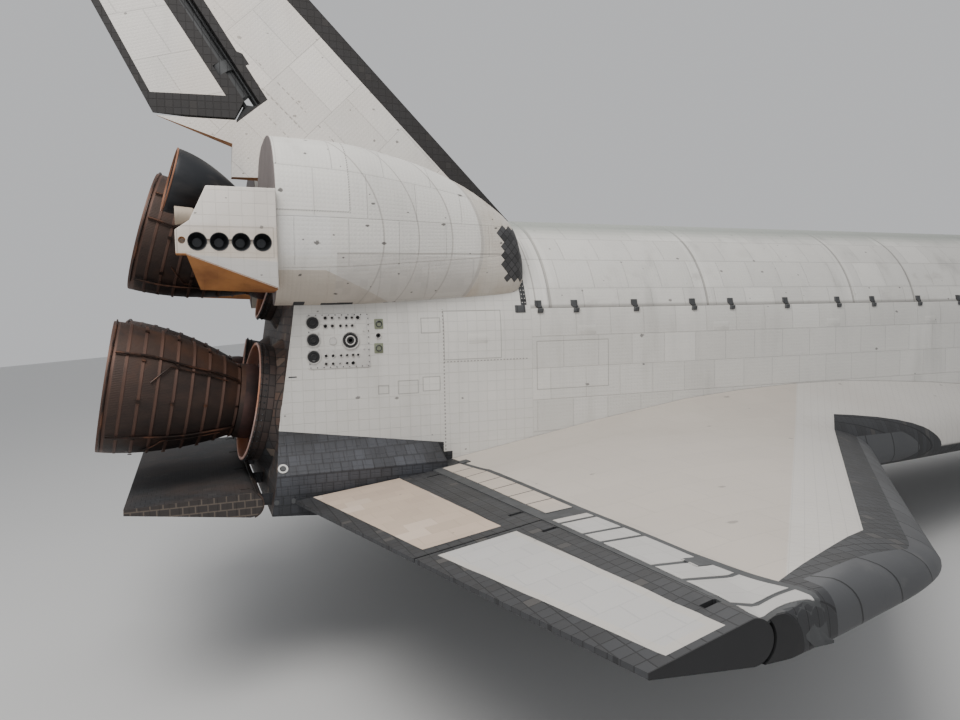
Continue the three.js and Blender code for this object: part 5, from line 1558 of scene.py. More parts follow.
def skin_paint():
    """The fuselage: white blankets and tiles above, black tiles below, with jagged borders."""
    p = Paint("fuselage_skin")
    v = girth(p)
    s, z = p.station, p.z
    soft, soft_height, _ = blankets(p, s, v, 1)
    hard, hard_height, _ = white_tiles(p, s, v, 3)
    dark, dark_height, cells = black_tiles(p, s, v, 2)
    side_rows = Grid(p, s, z, 0.20, 0.165, 0.41, 14)
    blue = p.mix((0.034, 0.035, 0.040), (0.092, 0.098, 0.116),
                 side_rows.tone * 0.35 + p.noise(1.1, 4, seed=5.0) * 0.9 - 0.3)
    blue = p.mix(blue, (0.016, 0.016, 0.018), side_rows.gap(0.014) * (p.noise(2.6, 3, seed=8.0) * 0.9 + 0.2))
    # painted shade: the low aft side's blue tiles darker towards the front, and above and below a lit band
    # at 1.1 m
    painted_shade_edge = p.ramp(s, 29.1, 29.9) * p.ramp(p.math("ABSOLUTE", z - 1.1), 0.65, 0.1) * 0.6 + 0.4
    dark = p.mix(dark, p.shade(blue, painted_shade_edge), s > 29.0)
    zone = ((s > 27.2) + (s < 9.0)).least(1)
    colour = p.mix(soft, hard, zone * 0.8)
    height = soft_height + (hard_height - soft_height) * zone
    # faint lighter and darker rectangles, and drawn panel borders on the aft side
    for s0, s1, z0, z1, tone in ((29.20, 29.58, 3.44, 3.73, 1.03), (29.67, 30.07, 2.28, 2.53, 0.96),
                                 (29.22, 29.57, 2.31, 2.58, 1.07), (30.26, 30.46, 2.3, 2.46, 0.94),
                                 (27.9, 29.12, 2.9, 3.86, 1.04), (25.4, 27.1, 2.2, 3.2, 1.03)):
        area = p.inside(s, z, s0, s1, z0, z1)
        colour = p.mix(colour, p.shade(colour, tone), area)
        colour = p.mix(colour, (0.20, 0.19, 0.175), p.frame_line(s, z, s0, s1, z0, z1, 0.012) * 0.6)
    seam = p.line(s, 29.13, 0.006, 0.02) * (z < 3.9) * ((z * 14).frac() > 0.45)
    seam = seam + p.line(z, 2.86, 0.005, 0.016) * p.inside(s, z, 27.3, 29.13, 2,
                                                           3.5) * ((s * 14).frac() > 0.45)
    colour = p.mix(colour, (0.16, 0.15, 0.14), seam * 0.7)
    colour = p.mix(colour, (0.10, 0.095, 0.09), p.marks(s, v, 0.7, 0.10, 4.0) * 0.7)
    colour = weather(p, colour, 0.16, 0.10)
    smoke = p.ramp(p.noise(0.8, 5, (1, 1, 1), seed=9.0), 0.55, 0.8) * p.ramp(s, 14, 24) * 0.10
    colour = p.mix(colour, (0.28, 0.26, 0.24), smoke)
    # black tiles: belly, chine line, nose and the low aft side
    qs, qz = cells.u, cells.v
    low_aft = (s > 29.17) * (1 - p.above(s, z, (32.32, 1.727), (29.159, 1.270)))
    low_aft = low_aft.most((s > 29.2) * (p.y.size() > 2.69)).most(p.inside(s, z, 28.99, 29.2, 0, 1.08))
    chine = p.ramp(qs, 9.0, 2.6) * 1.25 + 0.42
    belly = (qz < chine) * (qs < 29.3)
    nose = (1 - p.above(qs, qz, (0.6, 2.6), (3.4, 1.35))) * (qs < 5)
    windows = p.inside(qs, qz, 3.75, 5.45, 4.32, 6.0)
    black = (low_aft + belly + nose + windows + (qz < 0.30)).least(1)
    colour = p.mix(colour, dark, black)
    height = height + (dark_height - height) * black
    return p.finish(colour, 0.78 - black * 0.2, height, 0.006)


def door_paint():
    p = Paint("bay_door_blankets")
    v = girth(p)
    s = p.station
    colour, height, _ = blankets(p, s, v, 21, 0.86, 0.72)
    seams = p.lines(s, (12.47, 16.15, 18.27, 22.73, 26.74), 0.022, 0.036)
    colour = p.mix(colour, (0.20, 0.185, 0.165), seams.most(p.line(s, 27.08, 0.01, 0.02)) * 0.55)
    colour = p.shade(colour, p.lines(s, (18.27, 22.73, 26.74), 0.14, 0.15) * 0.06 + 1)
    smudge = p.ramp(p.noise(1.3, 5, (1, 1, 1.6), seed=5.0), 0.56, 0.74) * p.ramp(v, 6.0, 4.1) * 0.35
    colour = p.mix(colour, (0.25, 0.225, 0.20), smudge)
    colour = p.mix(colour, (0.12, 0.11, 0.10), p.marks(s, v, 0.55, 0.22, 1.0) * 0.7)
    colour = weather(p, colour, 0.22, 0.10)
    sill = (1 - p.ramp(p.z, 3.92, 3.98)) * 0.5
    colour = p.mix(colour, (0.12, 0.11, 0.10), sill)
    inner = p.ramp(p.math("SQRT", p.y * p.y + (p.z - 3.378) * (p.z - 3.378)) * -1, -2.62, -2.60)
    colour = p.mix(colour, (0.34, 0.36, 0.33), inner)
    return p.finish(colour, 0.8, height - seams * 1.5, 0.008)


def liner_paint():
    p = Paint("bay_liner")
    panels = Grid(p, p.station, p.y, 1.2, 0.9, 0.0, 5)
    colour = p.shade((0.52, 0.54, 0.50), panels.tone * 0.12 + 0.9)
    colour = p.mix(colour, (0.16, 0.16, 0.15), panels.gap(0.014) * 0.6)
    return p.finish(weather(p, colour, 0.1, 0.15), 0.65, panels.gap(0.014) * -1 + p.noise(6, 3) * 0.4, 0.01)


def cabin_paint():
    p = Paint("cabin_trim")
    panels = Grid(p, p.station, p.y, 0.32, 0.26, 0.0, 5)
    colour = p.mix((0.30, 0.32, 0.34), (0.05, 0.055, 0.06), (panels.tone > 0.62) * 0.7)
    colour = p.mix(colour, (0.10, 0.10, 0.10), panels.gap(0.012) * 0.8)
    return p.finish(p.shade(colour, p.noise(2.5, 3) * 0.2 + 0.9), 0.55, panels.gap(0.012) * -1, 0.004)


def row_marks(p, s, span):
    """The row before the elevons: 1 in its dark frame, and 1 in its pale panels."""
    front = 29.03 - (span - 7.9).most(0) * 0.0432 + (4.8 - span).most(0) * 0.04
    pale = p.inside(span, s, 3.34, 7.72, 0, 29.43) * ((((span - 3.34) / 0.6257).frac() - 0.5).size() < 0.474)
    for a, b in zip(ROW_OUTER, ROW_OUTER[1:]):
        pale = pale + p.inside(span, s, (a + 36) * MM, (b - 36) * MM, 0, 29.52)
    hole = p.inside(s, span, 28.80, 29.10, 3.1, 3.38) + p.inside(s, span, 28.89, 29.10, 10.20, 10.46)
    return s > (front - 0.10), pale.least(1) * (s > front) * (1 - hole.least(1))


def wing_paint():
    """Felt on top, white panels and black bars at the rear, black tiles in front and beneath."""
    p = Paint("wing_skin")
    s, span = p.station, p.y.size()
    under = 1 - p.ramp(p.normal("z"), -0.15, 0.02)
    felt = Grid(p, s, span, 0.9, 0.72, 0.5, 8)
    colour = p.shade(FELT, felt.tone * 0.035 + 0.98)
    colour = p.mix(colour, p.shade(FELT, 0.8), felt.gap(0.008) * 0.3)
    front = s - span
    # the lighter border that runs behind the black band, then the black band itself
    pale = p.ramp(front, 17.46, 17.50)
    colour = p.mix(p.mix(colour, (0.56, 0.545, 0.52), 0.75), colour, pale)
    pale_grid = Grid(p, front, s + span, 0.203, 0.203, 0.0, 12)
    colour = p.mix(colour, GAP, pale_grid.gap(0.006) * 0.25 * (1 - pale))
    stain = p.ramp(p.noise(0.5, 5, seed=2.0), 0.45, 0.8) * 0.16
    colour = p.mix(colour, (0.40, 0.345, 0.29), stain)
    colour = p.mix(colour, (0.16, 0.15, 0.135), p.marks(s, span, 0.9, 0.10, 2.0) * 0.5)
    dark, dark_height, _ = black_tiles(p, s, span, 2)
    band = (front < 16.40) * (span > 4.2)
    tip = p.above(s, span, (26.635, 10.33), (28.511, 11.102)) * (s > 26.2)
    rear, pale_row = row_marks(p, s, span)
    joint = 1 - p.ramp(span, 2.685, 2.70)
    colour = p.mix(colour, (0.20, 0.19, 0.18), joint * 0.7)
    colour = p.mix(colour, flipper_colour(p, s, span), pale_row)
    black = (band + tip + rear * (1 - pale_row) + under).least(1)
    colour = p.mix(weather(p, colour, 0.0, 0.07), dark, black)
    return p.finish(colour, 0.82 - black * 0.22, dark_height * black - felt.gap(0.008) * 0.4, 0.005)


def flipper_colour(p, s, span):
    near = p.ramp(span, 7.2, 8.6)
    colour = p.mix((0.50, 0.435, 0.37), (0.47, 0.46, 0.445), near)
    tiles = Grid(p, s, span, 0.32, 0.32, 0.0, 6)
    colour = p.shade(colour, tiles.tone * 0.06 + 0.95)
    colour = p.mix(colour, (0.25, 0.235, 0.215), tiles.gap(0.006) * 0.25)
    return p.mix(colour, (0.2, 0.18, 0.16), p.marks(s, span, 0.5, 0.15, 3.0) * 0.5)


def seal_tiles(p, s, span):
    """Small dark tiles, each of its own tone."""
    cells = Grid(p, s, span, 0.152, 0.152, 0, 4)
    return p.shade((0.050, 0.052, 0.054), cells.tone * 0.35 + 0.8 + p.noise(1.4, 3) * 0.3), cells


def flipper_paint():
    """The plates of the row before the elevons: pale panels in a dark frame."""
    p = Paint("wing_row_panels")
    s, span = p.station, p.y.size()
    _, pale = row_marks(p, s, span)
    colour = p.mix(seal_tiles(p, s, span)[0], weather(p, flipper_colour(p, s, span), 0.0, 0.10), pale)
    return p.finish(colour, 0.65 + pale * 0.15, p.noise(9, 3) * 0.2 + pale, 0.004)


def dark_bar_paint():
    p = Paint("dark_seal")
    s, span = p.station, p.y.size()
    colour, cells = seal_tiles(p, s, span)
    colour = p.mix(colour, (0.012, 0.012, 0.013), cells.gap(0.008) * 0.8)
    return p.finish(colour, 0.62, cells.gap(0.008) * -1, 0.004)


def elevon_paint(inner):
    """A pale panel inside a dark border, black at the trailing edge and beneath."""
    p = Paint("elevon_inner_skin" if inner else "elevon_outer_skin")
    s, span = p.station, p.y.size()
    under = 1 - p.ramp(p.normal("z"), -0.1, 0.05)
    dark, dark_height, _ = black_tiles(p, s, span, 2, 0.152, 0.0, 0.25)
    dark = p.shade(dark, 1.25)
    trailing = s + span * 0.17734 - 32.743
    grid = Grid(p, s, span, 0.42, 0.36, 0.5, 9)
    if inner:
        colour = p.shade((0.51, 0.405, 0.32), grid.tone * 0.10 + 0.93)
        colour = p.mix(colour, (0.42, 0.33, 0.25), grid.gap(0.008) * 0.35)
        colour = p.mix(colour, (0.62, 0.52, 0.43), p.ramp(grid.other, 0.90, 0.93) * 0.6)
        start = s + span * 0.043
        area = (start > 30.412) * (span > 3.33) * (span < 7.70) * ((trailing - span * 0.0184) < -0.361)
    else:
        colour = p.shade((0.455, 0.445, 0.435), grid.tone * 0.05 + 0.97)
        colour = p.mix(colour, (0.30, 0.30, 0.30), grid.gap(0.006) * 0.25)
        start = s + span * 0.0484
        area = (start > 30.414) * (span > 8.06) * (span < 11.76) * (trailing < -0.24)
        rim = (start < 30.50) + (span > 11.64) + (trailing > -0.33)
        colour = p.mix(colour, (0.47, 0.445, 0.41), rim.least(1) * 0.8)
    colour = p.mix(colour, (0.15, 0.14, 0.13), p.marks(s, span, 0.6, 0.15, 6.0) * 0.6)
    colour = weather(p, colour, 0.0, 0.10)
    area = area * (1 - under)
    colour = p.mix(dark, colour, area)
    return p.finish(colour, 0.6 + area * 0.2, dark_height * (1 - area) - grid.gap(0.007) * area * 0.5, 0.004)


def carbon_paint():
    """Reinforced carbon: grey segments with fine gaps, paler where it is worn."""
    p = Paint("carbon_edge")
    s, span = p.station, p.y.size()
    segment = Grid(p, s + span, s * 0 + 0.5, 1.02, 10.0, 0.0, 4)
    colour = p.shade(CARBON, segment.tone * 0.25 + p.noise(0.9, 4) * 0.5 + 0.62)
    colour = p.mix(colour, (0.010, 0.010, 0.011), segment.gap(0.022) * 0.9)
    colour = p.mix(colour, (0.14, 0.135, 0.13), p.ramp(p.noise(3.5, 5, seed=8.0), 0.6, 0.8) * 0.25)
    return p.finish(colour, 0.5 + p.noise(2.2, 3) * 0.15, segment.gap(0.022) * -1 + p.noise(30, 2) * 0.05,
                    0.012)


def nose_cap_paint():
    p = Paint("carbon_nose")
    colour = p.shade(CARBON, p.noise(2.0, 4) * 0.7 + 0.6)
    colour = p.mix(colour, (0.012, 0.012, 0.013), 1 - p.ramp((p.station - 0.60).size(), 0.008, 0.016))
    return p.finish(colour, 0.5, p.noise(25, 3) * 0.2, 0.004)


def hinge_away(p):
    """How far behind the rudder's hinge line a point is."""
    return p.station - (p.z - 8.255) * 0.62030 - 32.537


def tail_tint(p, colour, panels):
    tint = p.ramp(p.noise(0.30, 2, seed=9.0), 0.42, 0.62)
    return p.mix(colour, p.shade(TAIL_PINK, panels.tone * 0.06 + 0.95), tint * 0.45)


def tail_tiles(p):
    dark, height, _ = black_tiles(p, p.station, p.z, 2)
    return p.mix(dark, (0.020, 0.017, 0.016), 0.7), height


def fin_paint():
    """White panels, black nose and black edges about the rudder."""
    p = Paint("fin_skin")
    s, z = p.station, p.z
    lead = s - (z - 5.918) * 0.99963 - 26.467
    colour, height, panels = blankets(p, lead * 0.707, (s + z) * 0.707, 31, 0.76, 1.25, TAIL_WHITE)
    colour = p.mix(colour, (0.13, 0.12, 0.11), p.marks(s, z, 0.55, 0.35, 7.0) * 0.75)
    dashes = ((s * 5.5 + z * 5.5).frac() > 0.4) * p.inside(lead, z, 2.3, 4.0, 7.2, 9.2)
    lines = 1 - p.ramp(((lead * 2.1).frac() - 0.5).size(), 0.02, 0.05)
    colour = p.mix(colour, (0.16, 0.15, 0.14), dashes * lines * (p.noise(2.2, 3, seed=4.0) > 0.47) * 0.75)
    colour = weather(p, tail_tint(p, colour, panels), 0.14, 0.10)
    dark, dark_height = tail_tiles(p)
    bump = p.line(z, 9.10, 0.10, 0.14) * 0.09
    band = ((hinge_away(p) + bump) > -0.50) * (z < 13.7) * p.above(s, z, (32.133, 8.255), (32.620, 7.870))
    band = band * ((z > 7.945) + (s < 32.70)).least(1)
    black = ((lead < 0.58) + band).least(1)
    colour = p.mix(colour, dark, black)
    height = height + (dark_height - height) * black
    # the tail stub's down-facing faces painted orange, as painted lamp light from below
    below = (1 - p.ramp(p.normal("z"), -0.8, -0.4)) * (z > 6.6) * (z < 7.93)
    colour = p.mix(colour, p.mix(LAMP_ORANGE, (0.60, 0.30, 0.12), p.noise(2, 3)), below)
    return p.finish(colour, 0.75, height, 0.006)


def rudder_paint():
    p = Paint("rudder_skin")
    s, z = p.station, p.z
    hinge = hinge_away(p)
    colour, height, panels = blankets(p, hinge * 0.85, z * 1.18 + s * 0.3, 33, 0.72, 1.1, TAIL_WHITE)
    colour = p.mix(colour, (0.15, 0.14, 0.13), p.marks(s, z, 0.55, 0.28, 3.0) * 0.7)
    colour = tail_tint(p, weather(p, colour, 0.12, 0.08), panels)
    dark, dark_height = tail_tiles(p)
    trail = s - (z - 5.918) * 0.493 - 33.284
    area = (hinge > 0.30) * (trail < -0.16) * (z > 8.34) * (z < 13.36)
    colour = p.mix(dark, colour, area)
    return p.finish(colour, 0.72, height * area + dark_height * (1 - area), 0.006)


def pod_paint():
    """Pod: sewn white blankets, stitched seams, a browned front of small tiles."""
    p = Paint("pod_skin")
    s, z = p.station, p.z
    v = p.math("ARCTAN2", z - 5.52, p.y.size() - 1.75) * 1.62
    colour, height, _ = blankets(p, s, v, 41, 0.96, 0.82, (0.68, 0.665, 0.63))
    tiles, _, small = white_tiles(p, s, v, 5, 0.152, (0.60, 0.56, 0.50))
    brown = p.mix(tiles, (0.40, 0.31, 0.22), p.ramp(p.noise(2.0, 4, seed=1.0), 0.35, 0.7) * 0.45)
    curve = s + (z - 5.2) * (z - 5.2) * -0.28
    front = 1 - p.ramp(curve, 28.30, 28.34)
    rim = p.line(curve, 28.36, 0.02, 0.05)
    colour = p.mix(colour, brown, front * 0.85)
    colour = p.mix(colour, (0.30, 0.26, 0.22), rim * 0.45)
    # low band of beige tiles under the pod
    beige = p.inside(s, z, 30.2, 32.4, 3.8,
                     4.62) * (1 - p.above(s, z, (31.5, 4.62), (30.2, 4.05)) * (s < 31.5))
    colour = p.mix(colour, p.mix(tiles, (0.46, 0.395, 0.32), 0.6), beige * 0.85)
    border = p.line(z, 4.66, 0.035, 0.05)
    colour = p.mix(colour, (0.66, 0.64, 0.60), border * p.inside(s, z, 31.4, 32.4, 4, 5) * 0.8)
    # stitched seams and a lighter service panel
    panel = p.inside(s, z, 31.05, 32.34, 5.63, 6.85)
    colour = p.mix(colour, p.shade(colour, 1.05), panel)
    stitch = p.frame_line(s, z, 31.05, 32.9, 5.63, 7.6, 0.016) * ((s * 22 + z * 22).frac() > 0.4)
    colour = p.mix(colour, (0.14, 0.13, 0.12), stitch * 0.75)
    pale = p.inside(s, z, 31.41, 32.28, 4.86, 5.56)
    colour = p.mix(colour, (0.70, 0.70, 0.70), pale * 0.35)
    for line, width in ((29.02, 0.010), (29.72, 0.008), (30.42, 0.010)):
        seam = p.line(curve, line, width, width * 2.2)
        colour = p.mix(colour, (0.27, 0.25, 0.23), seam * 0.55)
    bright = p.inside(curve, z, 28.40, 29.02, 4.6, 7.3)
    colour = p.mix(colour, p.shade(colour, 1.06), bright)
    lower = 1 - p.ramp((z - 4.93 + (s - 30.0) * 0.02).size(), 0.010, 0.022)
    colour = p.mix(colour, (0.26, 0.24, 0.22), lower * (s < 31.3) * 0.6)
    colour = p.mix(colour, p.shade((0.50, 0.47, 0.44), small.tone * 0.2 + 0.85),
                   (z < 4.9) * (s < 31.3) * (1 - front) * 0.45)
    colour = p.mix(colour, (0.085, 0.08, 0.075), p.marks(s, v, 0.62, 0.62, 2.0) * 0.85)
    grime = p.ramp(p.noise(1.6, 5, (1, 1, 0.5), seed=6.0), 0.55, 0.8) * 0.16
    colour = p.mix(colour, (0.36, 0.31, 0.25), grime)
    # black jagged tiles at the front corner and under the rear edge
    dark, _, cells = black_tiles(p, s, z, 2, 0.30)
    low = (z < (cells.tone * 0.10 + 3.985)) * (s > 30.2) * (s < 32.0)
    skew = Grid(p, (s + z) * 0.7071, (s - z) * 0.7071, 0.125, 0.125, 0.0, 23)
    at_s, at_z = (skew.u + skew.v) * 0.7071, (skew.u - skew.v) * 0.7071
    corner = (at_z > 4.50) * (at_z < 5.56) * (at_s < (27.96 + (at_z - 5.5) * 0.16)) * (at_s > 26)
    tiled = p.shade((0.045, 0.045, 0.047), skew.tone * 0.8 + 0.7)
    tiled = p.mix(tiled, (0.012, 0.012, 0.012), skew.gap(0.010) * 0.9)
    dark = p.mix(p.shade(dark, 1.2), tiled, corner)
    shut = s > 32.325
    dark = p.mix(dark, p.shade((0.175, 0.150, 0.145), p.noise(2.0, 4, seed=1.0) * 0.5 + 0.75), shut)
    black = (corner + low + shut).least(1)
    colour = p.mix(weather(p, colour, 0.12, 0.07), dark, black)
    return p.finish(colour, 0.74, height + black * 0.3, 0.007)


def housing_paint():
    """Thruster housing: pinkish white, browned about the jets, with painted orange lamp light on the faces
    below, inboard and behind.
    """
    p = Paint("thruster_housing_skin")
    s, z = p.station, p.z
    colour, height, _ = white_tiles(p, s, z, 9, 0.203, (0.64, 0.60, 0.555))
    heat = p.line(z, 5.03, 0.16, 0.36) * 0.42 * (p.noise(3, 4) + 0.4)
    colour = p.mix(colour, (0.42, 0.33, 0.23), heat)
    strip = p.frame_line(s, z, 32.4, 33.9, 4.80, 5.30, 0.012) * 0.5
    colour = p.mix(colour, (0.28, 0.24, 0.20), strip)
    lower = 1 - p.above(s, z, (32.41, 4.735), (33.776, 4.85))
    colour = p.mix(colour, (0.50, 0.49, 0.475), lower * 0.75)
    # painted lamp light: orange light from below and behind, on the faces below, inboard and aft
    orange_lamp_light = p.mix((0.46, 0.20, 0.065), (0.22, 0.085, 0.03), p.ramp(p.noise(1.1, 4), 0.35, 0.7))
    under = 1 - p.ramp(p.normal("z"), -0.35, -0.25)
    inboard = (p.y.size() < 3.255) * (z < 5.16)
    aft = p.ramp(p.normal("x") * -1, 0.6, 0.8) * (z < 4.9)
    colour = p.mix(colour, orange_lamp_light, (under + inboard + aft).least(1))
    colour = p.mix(colour, (0.12, 0.11, 0.10), p.marks(s, z, 0.5, 0.35, 5.0) * 0.7 * (1 - under))
    return p.finish(weather(p, colour, 0.12, 0.08), 0.7, height, 0.004)


def base_paint():
    """Base tiles: black, browned by heat, with fine gaps on the slanted face."""
    p = Paint("base_tiles")
    dark, height, cells = black_tiles(p, p.y, p.z, 6, 0.152, 0.0, 0.3)
    brown = p.mix((0.10, 0.052, 0.032), (0.05, 0.035, 0.028), cells.tone)
    colour = p.mix(dark, brown, p.ramp(p.noise(0.9, 4, seed=4.0), 0.30, 0.62) * 0.85)
    colour = p.mix(colour, (0.008, 0.007, 0.007), cells.gap(0.010) * 0.85)
    colour = p.mix(colour, (0.22, 0.17, 0.13), (cells.other > 0.95) * 0.35)
    return p.finish(colour, 0.62, height, 0.008)


def flap_paint():
    """Body flap: black tiles with paler grout, most of all on its side faces."""
    p = Paint("flap_tiles")
    dark, height, _ = black_tiles(p, p.station, p.y, 6, 0.152, 0.5, 0.3)
    side = p.ramp(p.y.size(), 3.235, 3.238)
    face = Grid(p, p.station, p.z, 0.20, 0.13, 0.5, 3)
    edge_tone = p.mix((0.030, 0.024, 0.022), (0.12, 0.095, 0.075), face.gap(0.014) * 0.8)
    colour = p.mix(dark, (0.07, 0.045, 0.035), p.ramp(p.noise(0.8, 3), 0.4, 0.7) * 0.5)
    colour = p.mix(colour, edge_tone, side)
    return p.finish(colour, 0.66, height, 0.006)


def bell_paint():
    """Cooling tubes that run down the bell, each painted lighter on its crest and darker between, browned in
    patches and paler on the hoops.
    """
    p = Paint("bell_tubes")
    turn = p.math("ARCTAN2", p.y, p.x)
    along = p.z
    radius = p.math("SQRT", p.x * p.x + p.y * p.y)
    ridge = ((turn * (TUBES / TAU)).frac() - 0.5).size()
    base = p.mix((0.062, 0.040, 0.032), (0.027, 0.022, 0.021),
                 p.ramp(p.noise(1.1, 4, (1, 1, 0.35), seed=2.0), 0.35, 0.65))
    colour = p.mix(base, (0.13, 0.062, 0.038), p.ramp(p.noise(0.9, 5, seed=6.0), 0.50, 0.74) * 0.6)
    # painted highlight on each tube's crest and painted shade where the tubes meet
    colour = p.shade(colour, 1.15 - ridge * 0.6)
    hoop = p.lines(along, [b * MM for b in BANDS], 0.020, 0.034).most(p.ramp(along, 3.885, 3.90))
    colour = p.mix(colour, p.mix((0.17, 0.088, 0.062), (0.07, 0.045, 0.038), p.noise(2.3, 3)), hoop * 0.8)
    dome = (along < 1.66) * (radius > 0.60)
    scorched = p.mix((0.10, 0.052, 0.045), (0.035, 0.024, 0.023), p.ramp(p.noise(1.4, 4), 0.3, 0.7))
    colour = p.mix(colour, scorched, dome)
    return p.finish(colour, 0.46 + p.noise(3, 2) * 0.2, ridge * (1 - hoop) * -1, 0.006, 0.55)


def pipe_paint():
    p = Paint("engine_pipes")
    colour = p.mix((0.030, 0.021, 0.018), (0.14, 0.065, 0.04), p.ramp(p.noise(3.0, 4), 0.42, 0.68))
    return p.finish(colour, 0.42, p.noise(40, 2) * 0.3, 0.002, 0.7)


def ring_paint():
    """The lip of a mouth: bare metal discoloured to pink and orange."""
    p = Paint("mouth_ring")
    hue = p.noise(0.9, 4, seed=3.0)
    colour = p.mix((0.62, 0.27, 0.15), (0.66, 0.43, 0.36), p.ramp(hue, 0.35, 0.6))
    colour = p.mix(colour, (0.44, 0.44, 0.46), p.ramp(p.noise(0.7, 3, seed=7.0), 0.52, 0.66) * 0.8)
    colour = p.mix(colour, (0.22, 0.10, 0.06), p.ramp(p.noise(3.2, 4, seed=1.0), 0.58, 0.8) * 0.5)
    return p.finish(colour, 0.42, p.noise(12, 3) * 0.4, 0.003, 0.35)


def band_paint():
    """The dark band behind a lip, in segments, browned by heat."""
    p = Paint("mouth_band")
    turn = p.math("ARCTAN2", p.y, p.x) * 1.1
    cells = Grid(p, turn, p.z, 0.215, 0.12, 0.0, 3)
    colour = p.mix((0.075, 0.052, 0.045), (0.033, 0.028, 0.027), cells.tone)
    colour = p.mix(colour, (0.11, 0.055, 0.035), p.ramp(p.noise(1.3, 4, seed=2.0), 0.5, 0.75) * 0.6)
    colour = p.mix(colour, (0.008, 0.007, 0.007), cells.gap(0.010) * 0.8)
    return p.finish(colour, 0.55, cells.gap(0.010) * -1, 0.004, 0.2)


def pod_bell_paint():
    p = Paint("pod_bell_metal")
    colour = p.mix((0.028, 0.030, 0.034), (0.075, 0.070, 0.070),
                   p.ramp(p.noise(1.8, 4, (1, 1, 0.4)), 0.4, 0.7))
    lip = p.ramp(p.z, 1.868, 1.876)
    colour = p.mix(colour, (0.34, 0.16, 0.095), lip)
    return p.finish(colour, 0.46, p.noise(20, 2) * 0.1, 0.002, 0.5)


def metal_paint(name, colour, rough):
    p = Paint(name)
    tone = p.shade(colour, p.noise(5, 4) * 0.5 + 0.75)
    worn = p.mix(tone, p.shade(colour, 0.35), p.ramp(p.noise(9, 4, seed=5.0), 0.62, 0.8) * 0.5)
    return p.finish(worn, rough, p.noise(60, 2) * 0.2, 0.001, 0.9)


def enamel_paint(name, colour, rough=0.45):
    p = Paint(name)
    tone = p.shade(colour, p.noise(3, 4) * 0.24 + 0.86)
    grime = p.ramp(p.noise(6, 5, seed=2.0), 0.55, 0.8)
    tone = p.mix(tone, (0.10, 0.085, 0.07), grime * 0.4)
    return p.finish(tone, rough, p.noise(50, 2) * 0.15, 0.001)


def rubber_paint():
    p = Paint("tyre_rubber")
    tone = p.mix((0.016, 0.016, 0.017), (0.060, 0.057, 0.053), p.ramp(p.noise(7, 5), 0.42, 0.75))
    return p.finish(tone, 0.82, p.noise(90, 3) * 0.3, 0.001)


def radiator_paint():
    """Silvered panels in long strips with fine tubes."""
    p = Paint("radiator_silver")
    turn = p.math("ARCTAN2", p.z - 3.378, p.y.size()) * 2.5
    strips = Grid(p, p.station, turn, 0.76, 0.102, 0.0, 3)
    colour = p.shade((0.66, 0.69, 0.73), strips.tone * 0.10 + 0.88)
    colour = p.mix(colour, (0.25, 0.26, 0.28), strips.gap(0.006) * 0.7)
    return p.finish(colour, 0.22, strips.gap(0.008) * -1, 0.003, 0.75)


def glass_paint():
    p = Paint("window_glass")
    colour = p.shade((0.018, 0.024, 0.030), p.noise(1.2, 2) * 0.5 + 0.75)
    return p.finish(colour, 0.06 + p.noise(4, 2) * 0.05, None, 0.0, 0.0, coat_weight=0.6)


def black_gear_paint():
    p = Paint("gear_door_tiles")
    dark, height, _ = black_tiles(p, p.station, p.z, 2)
    inner = p.ramp(p.noise(1.0, 3), 0.3, 0.7) * 0.15
    return p.finish(p.mix(dark, (0.12, 0.12, 0.12), inner), 0.6, height, 0.005)


def module_paint():
    """Forward thruster module: white tiles with browned rims about the jets."""
    p = Paint("thruster_module_skin")
    v = girth(p)
    colour, height, _ = white_tiles(p, p.station, v, 9, 0.152, (0.60, 0.585, 0.55))
    dark, _, cells = black_tiles(p, p.station, v, 2)
    low = (1 - p.above(cells.u, cells.v, (0.6, 2.6), (3.4, 1.35))).most(cells.v < 2.46)
    black = (low + (cells.u < 1.62) * (cells.tone < 0.1)).least(1)
    colour = p.mix(weather(p, colour, 0.12, 0.12), dark, black)
    return p.finish(colour, 0.7, height, 0.005)


# Details that stand on the airframe


def side_y(z):
    """How far out the fuselage's side is at a height, aft of the cabin."""
    _, bottom, top, half, widest, _, lower = section(STRAIGHT[1])
    if z >= widest:
        return half * math.sqrt(max(0, 1 - ((z - widest) / (top - widest)) ** 2))
    return half * (1 - ((widest - z) / (widest - bottom)) ** lower) ** (1 / lower)


def side_plate(side, s0, s1, z0, z1, lift, sink=40, radius=20, steps=4):
    """A thin plate with round corners that lies on the fuselage's side."""
    outline = [(u + (s0 + s1) / 2, v + (z0 + z1) / 2) for u, v in rounded(s1 - s0, z1 - z0, radius, steps)]
    faces = [[at(s, side * (side_y(z) + d), z) for s, z in outline] for d in (-sink, lift)]
    return bevel(loft(faces), 4, 2, 40)


def port_ring(side, s, z, radius, lift, depth, wall):
    """A round port: a raised rim with a dark well inside it."""
    centre = at(s, side * (side_y(z) - 30), z)
    out = Vector((0, side, 0))
    rise = 30 + lift
    return turned([(0, 0), (0, radius), (rise, radius), (rise + 4, radius - wall * 0.5),
                   (rise, radius - wall), (rise - depth, radius - wall - 4), (rise - depth, 0)], centre, out,
                   40)


def side_stud(side, s, z, sink, profile):
    """A small turned head that stands out from the fuselage's side."""
    return turned(profile, at(s, side * (side_y(z) - sink), z), Vector((0, side, 0)), 8)


PORT_COLUMN, BIG_PORT, SQUARES = (31662, (3686, 3372, 3059)), (30975, 3345), ((30420, 3640), (30435, 3180))
